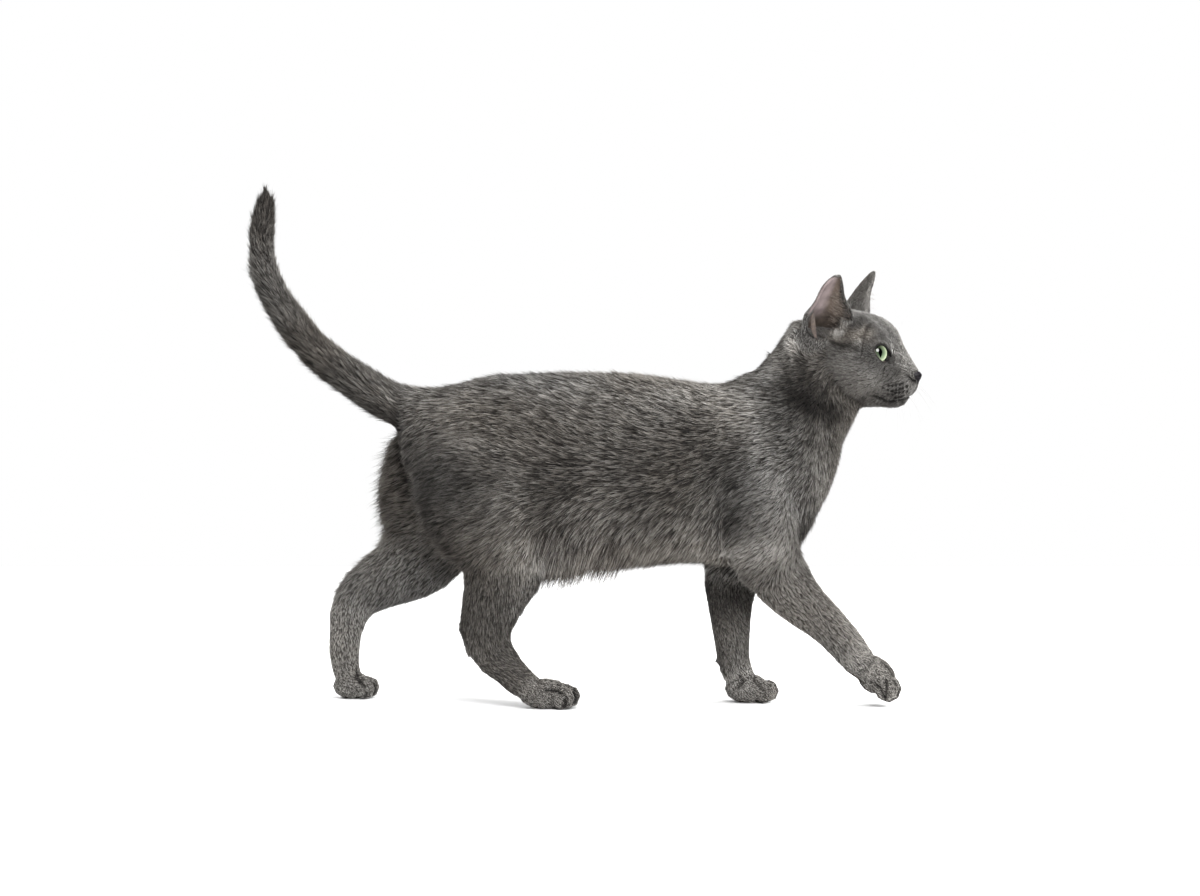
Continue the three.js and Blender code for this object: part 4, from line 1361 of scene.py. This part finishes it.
def wet_margin(material):
    """Bare lid skin: nearly black, smooth and always wet."""
    pores = grain(material, 1500.0)
    black = ramp(material, pores, [(0.3, "#0a0909"), (0.8, "#151313")])
    colour = mixed(material, read(material, "pale"), black, linear("#3a3532"))
    bump = rough(material, pores, 0.2, 0.1 * MM)
    return {"Base Color": colour, "Roughness": 0.6, "Specular IOR Level": 0.2, "Normal": bump}


def pink_flesh(material):
    """The bead in the corner of the eye: bare moist flesh, mauve pink."""
    colour = ramp(material, grain(material, 900.0), [(0.3, "#4d3c3b"), (0.8, "#66504e")])
    return {"Base Color": colour, "Roughness": 0.3, "Coat Weight": 0.3}


black_skin = new_material("wet_black_skin", wet_margin)
pink_bead = new_material("moist_pink_flesh", pink_flesh)
for side, sign in SIGN.items():
    noseward, above, aim = eye_place(sign)

    def over_ball(u, v, high):
        """A place over the eyeball, in the direction of u, v on the almond's ball, so many mm out."""
        w = math.sqrt(max(LID_SCALE**2 - u * u - v * v, 1))
        spot = (noseward * u + above * v + aim * w).normalized() * high
        return EYES[side] + HEAD_TURN @ (spot * MM)

    bm = bmesh.new()
    loops, pale = [], []
    for scale, rise in MARGIN:
        loop = []
        for u, v in almond():
            high = float(lid_height(u)) + rise
            u, v = (LID_CENTRE[i] + (p - LID_CENTRE[i]) * scale for i, p in enumerate((u, v)))
            loop.append(bm.verts.new(over_ball(u, v, high)))
            pale.append(float(smooth_step(-u - v, 2, 7)))
        loops.append([bm.edges.new((loop[i], loop[(i + 1) % len(loop)])) for i in range(len(loop))])
    for i in range(len(loops)):
        bmesh.ops.bridge_loops(bm, edges=loops[i] + loops[(i + 1) % len(loops)])
    bmesh.ops.recalc_face_normals(bm, faces=bm.faces)
    ring = finished(new_piece(f"lid_margin_{side}", bm), black_skin)
    keep(ring.data, "pale", pale)
    bm = bmesh.new()
    bmesh.ops.create_uvsphere(bm, u_segments=16, v_segments=10, radius=0.9 * MM)
    bmesh.ops.scale(bm, vec=(1, 1, 0.8), verts=bm.verts)
    bmesh.ops.translate(bm, vec=over_ball(9.5, -4.6, 13.2), verts=bm.verts)
    finished(new_piece(f"tear_bead_{side}", bm), pink_bead)
print("lid margins made")

# %% [markdown]
# The nose leather is moist skin in fine pebbles. The solid has its outline and nostrils in a few facets, so
# a copy is wrapped in small voxels and smoothed, which rounds the facets off and keeps the nostrils.

# %% The nose
bm = bmesh.new()
bm.from_mesh(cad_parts["nose"].data)
bmesh.ops.remove_doubles(bm, verts=bm.verts, dist=1e-6)
nose = new_piece("nose_leather", bm)
add_wrap(nose, 0.3 * MM)
soften = nose.modifiers.new("soften", "SMOOTH")
soften.factor = 0.5
soften.iterations = 16
applied(nose)


def nose_skin(material):
    """Nose leather: slate with a mauve cast, moist, in pebbles of about a third of a millimetre."""
    place = node(material, "TexCoord").outputs["Object"]
    pebbles = node(material, "TexVoronoi", {"Vector": place, "Scale": 2600.0})
    colour = ramp(material, grain(material, 300.0), [(0.3, "#110f12"), (0.7, "#1d1a1d")])
    bump = rough(material, reckon(material, "SUBTRACT", 1.0, pebbles.outputs["Distance"]), 0.4, 0.08 * MM)
    return {"Base Color": colour, "Roughness": 0.5, "Specular IOR Level": 0.2, "Normal": bump}


nose.data.materials.clear()
finished(nose, new_material("moist_nose_leather", nose_skin))
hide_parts("nose")
print("nose:", len(nose.data.polygons), "faces")

# %% [markdown]
# At the lower rear edge of each ear the skin folds into a small pocket. It is a bent leaf, flattened from a
# sphere, that stands beside the rim with a dark slit between them.

# %% The pockets of the ears
def pocket_skin(material):
    """Thin ear skin with sparse short hair: warm brown grey, with painted shade in the dips of its relief."""
    down = grain(material, 700.0, detail=3.0)
    colour = ramp(material, down, [(0.3, "#312a27"), (0.75, "#54483f")])
    return {"Base Color": colour, "Roughness": 0.7, "Normal": rough(material, down, 0.4, 0.3 * MM)}


ear_fold = new_material("thin_ear_skin", pocket_skin)
for side, sign in SIGN.items():
    bm = bmesh.new()
    bmesh.ops.create_uvsphere(bm, u_segments=24, v_segments=20, radius=1.0)
    low, high = ear_point(side, 0.2, -0.46, 8), ear_point(side, 0.5, -0.84, 2)
    middle = (low + high) / 2
    along = (high - low).normalized()
    across = (ear_point(side, 0.34, 1, 0) - ear_point(side, 0.34, -1, 0)).normalized()
    facing = along.cross(across).normalized()
    across = facing.cross(along)
    half = (high - low).length / 2
    for vert in bm.verts:
        x, y, z = vert.co
        bow = across * (1.8 * MM * (z * z - 1)) - facing * (1.2 * MM * y * y)
        vert.co = middle + facing * (0.7 * MM * x) + across * (1.9 * MM * y) + along * (half * z) + bow
    bmesh.ops.recalc_face_normals(bm, faces=bm.faces)
    finished(new_piece(f"ear_pocket_{side}", bm), ear_fold)
print("ear pockets made")

# %% [markdown]
# Whiskers are stiff, tapered and pale, in rows on the pads beside the nose, with a few over each eye.
# Softer hairs cross the cups of the ears. Each is a thin closed tube with a bend. They are made from
# arrays, as the tufts are.

# %% Whiskers and the hairs in the ears
surface = skin_tree()


def strands(name, hairs, radius, steps=8, around=4):
    """Tapered tubes. Each hair is a root, a way, a length and how far it droops, as a share of its length."""
    verts, quads = [], []
    for root, way, reach, drop in hairs:
        way = way.normalized()
        first = way.orthogonal().normalized()
        second = way.cross(first)
        start = len(verts)
        for i in range(steps):
            t = i / (steps - 1)
            middle = root + way * (reach * t) + Vector((0, 0, -1)) * (drop * reach * t * t)
            girth = radius * (1 - 0.9 * t)
            for k in range(around):
                angle = 2 * math.pi * k / around
                verts.append(middle + (first * math.cos(angle) + second * math.sin(angle)) * girth)
        for i in range(steps - 1):
            for k in range(around):
                p, q = start + i * around, (k + 1) % around
                quads.append((p + k, p + q, p + around + q, p + around + k))
        quads.append(tuple(start + k for k in reversed(range(around))))
        quads.append(tuple(start + (steps - 1) * around + k for k in range(around)))
    mesh = bpy.data.meshes.new(name)
    mesh.from_pydata(verts, [], quads)
    return placed(name, mesh)


def whisker_horn(material):
    """Whisker keratin: clear white horn, smooth and a little shiny."""
    colour = ramp(material, grain(material, 400.0), [(0.3, "#7d7a76"), (0.8, "#a3a09b")])
    return {"Base Color": colour, "Roughness": 0.35}


def down_hair(material):
    """The long soft hairs of an ear: pale brown grey."""
    colour = ramp(material, grain(material, 250.0), [(0.35, "#6a6058"), (0.7, "#958b81")])
    return {"Base Color": colour, "Roughness": 0.5}


white_hair = new_material("white_whisker", whisker_horn)
hairs = []
for i, place in enumerate(follicles):
    if dice.random() < 0.55:
        continue
    sign = 1 if place.y > 0 else -1
    back = (50 - place.x) / 16
    way = Vector((0.35 - 0.75 * back + 0.3 * dice.random(), sign * (0.75 + 0.2 * dice.random()), -0.6))
    root = on_head(*place) - (HEAD_TURN @ way).normalized() * 0.5 * MM
    long = (22 + 10 * back + 10 * dice.random()) * MM
    hairs.append((root, HEAD_TURN @ way, long, 0.2 + 0.2 * dice.random()))
for sign in (-1, 1):
    for i in range(3):
        place = cast_out(surface, (27 + 3 * i, 0, 11), (0.1, sign, 0.1))
        way = HEAD_TURN @ Vector((0.5 - 0.1 * i, sign * 0.7, 0.6))
        hairs.append((on_head(*place) - way * 0.4 * MM, way, (14 + 3 * i) * MM, -0.02))
finished(strands("whiskers", hairs, 0.05 * MM), white_hair)
print("whiskers:", len(hairs))

soft_hair = new_material("soft_ear_hair", down_hair)
hairs = []
for side, sign in SIGN.items():
    _, along, facing, across = (HEAD_TURN @ Vector(v) for v in ear_frame(sign))
    along = along.normalized()
    for i in range(260):
        share = dice.uniform(0.14, 0.74)
        start = ear_point(side, share, dice.uniform(0.35, 0.85), dice.uniform(-1, 2) * (1 - share))
        way = -across * dice.uniform(0.5, 0.9) + facing * dice.uniform(0.1, 0.35)
        way += along * dice.uniform(0.2, 0.6)
        hairs.append((start, way, dice.uniform(6, 12) * MM, -0.1))
    for i in range(60):
        start = ear_point(side, dice.uniform(0.12, 0.18), dice.uniform(-0.3, 0.5), dice.uniform(3, 8))
        way = facing * 0.5 + along * dice.uniform(0.0, 0.8) + across * dice.uniform(-0.5, 0.5)
        hairs.append((start, way, dice.uniform(4, 8) * MM, 0.1))
    for i in range(70):  # wisps that stand out over the front edge
        start = ear_point(side, dice.uniform(0.1, 0.72), dice.uniform(0.7, 0.9), dice.uniform(0, 3))
        way = facing * 0.9 + along * dice.uniform(-0.1, 0.4) + across * dice.uniform(-0.5, 0.1)
        hairs.append((start, way, dice.uniform(5, 9) * MM, -0.1))
whites = []
for side, sign in SIGN.items():
    _, along, facing, across = ((HEAD_TURN @ Vector(v)).normalized() for v in ear_frame(sign))
    for share, aside, count in ((0.28, 0.42, 110), (0.15, 0.0, 40)):
        for i in range(count):
            spread = share + dice.normal(0, 0.025), aside + dice.normal(0, 0.11)
            start = ear_point(side, *spread, dice.uniform(5, 9))
            way = facing * 0.5 - along * dice.uniform(0.3, 0.8) + across * dice.uniform(-0.1, 0.3)
            whites.append((start, way, dice.uniform(2.5, 5) * MM, 0.2))
finished(strands("pale_ear_tufts", whites, 0.09 * MM, steps=5), white_hair)
finished(strands("ear_hairs", hairs, 0.055 * MM, steps=6, around=3), soft_hair)
print("ear hairs:", len(hairs))
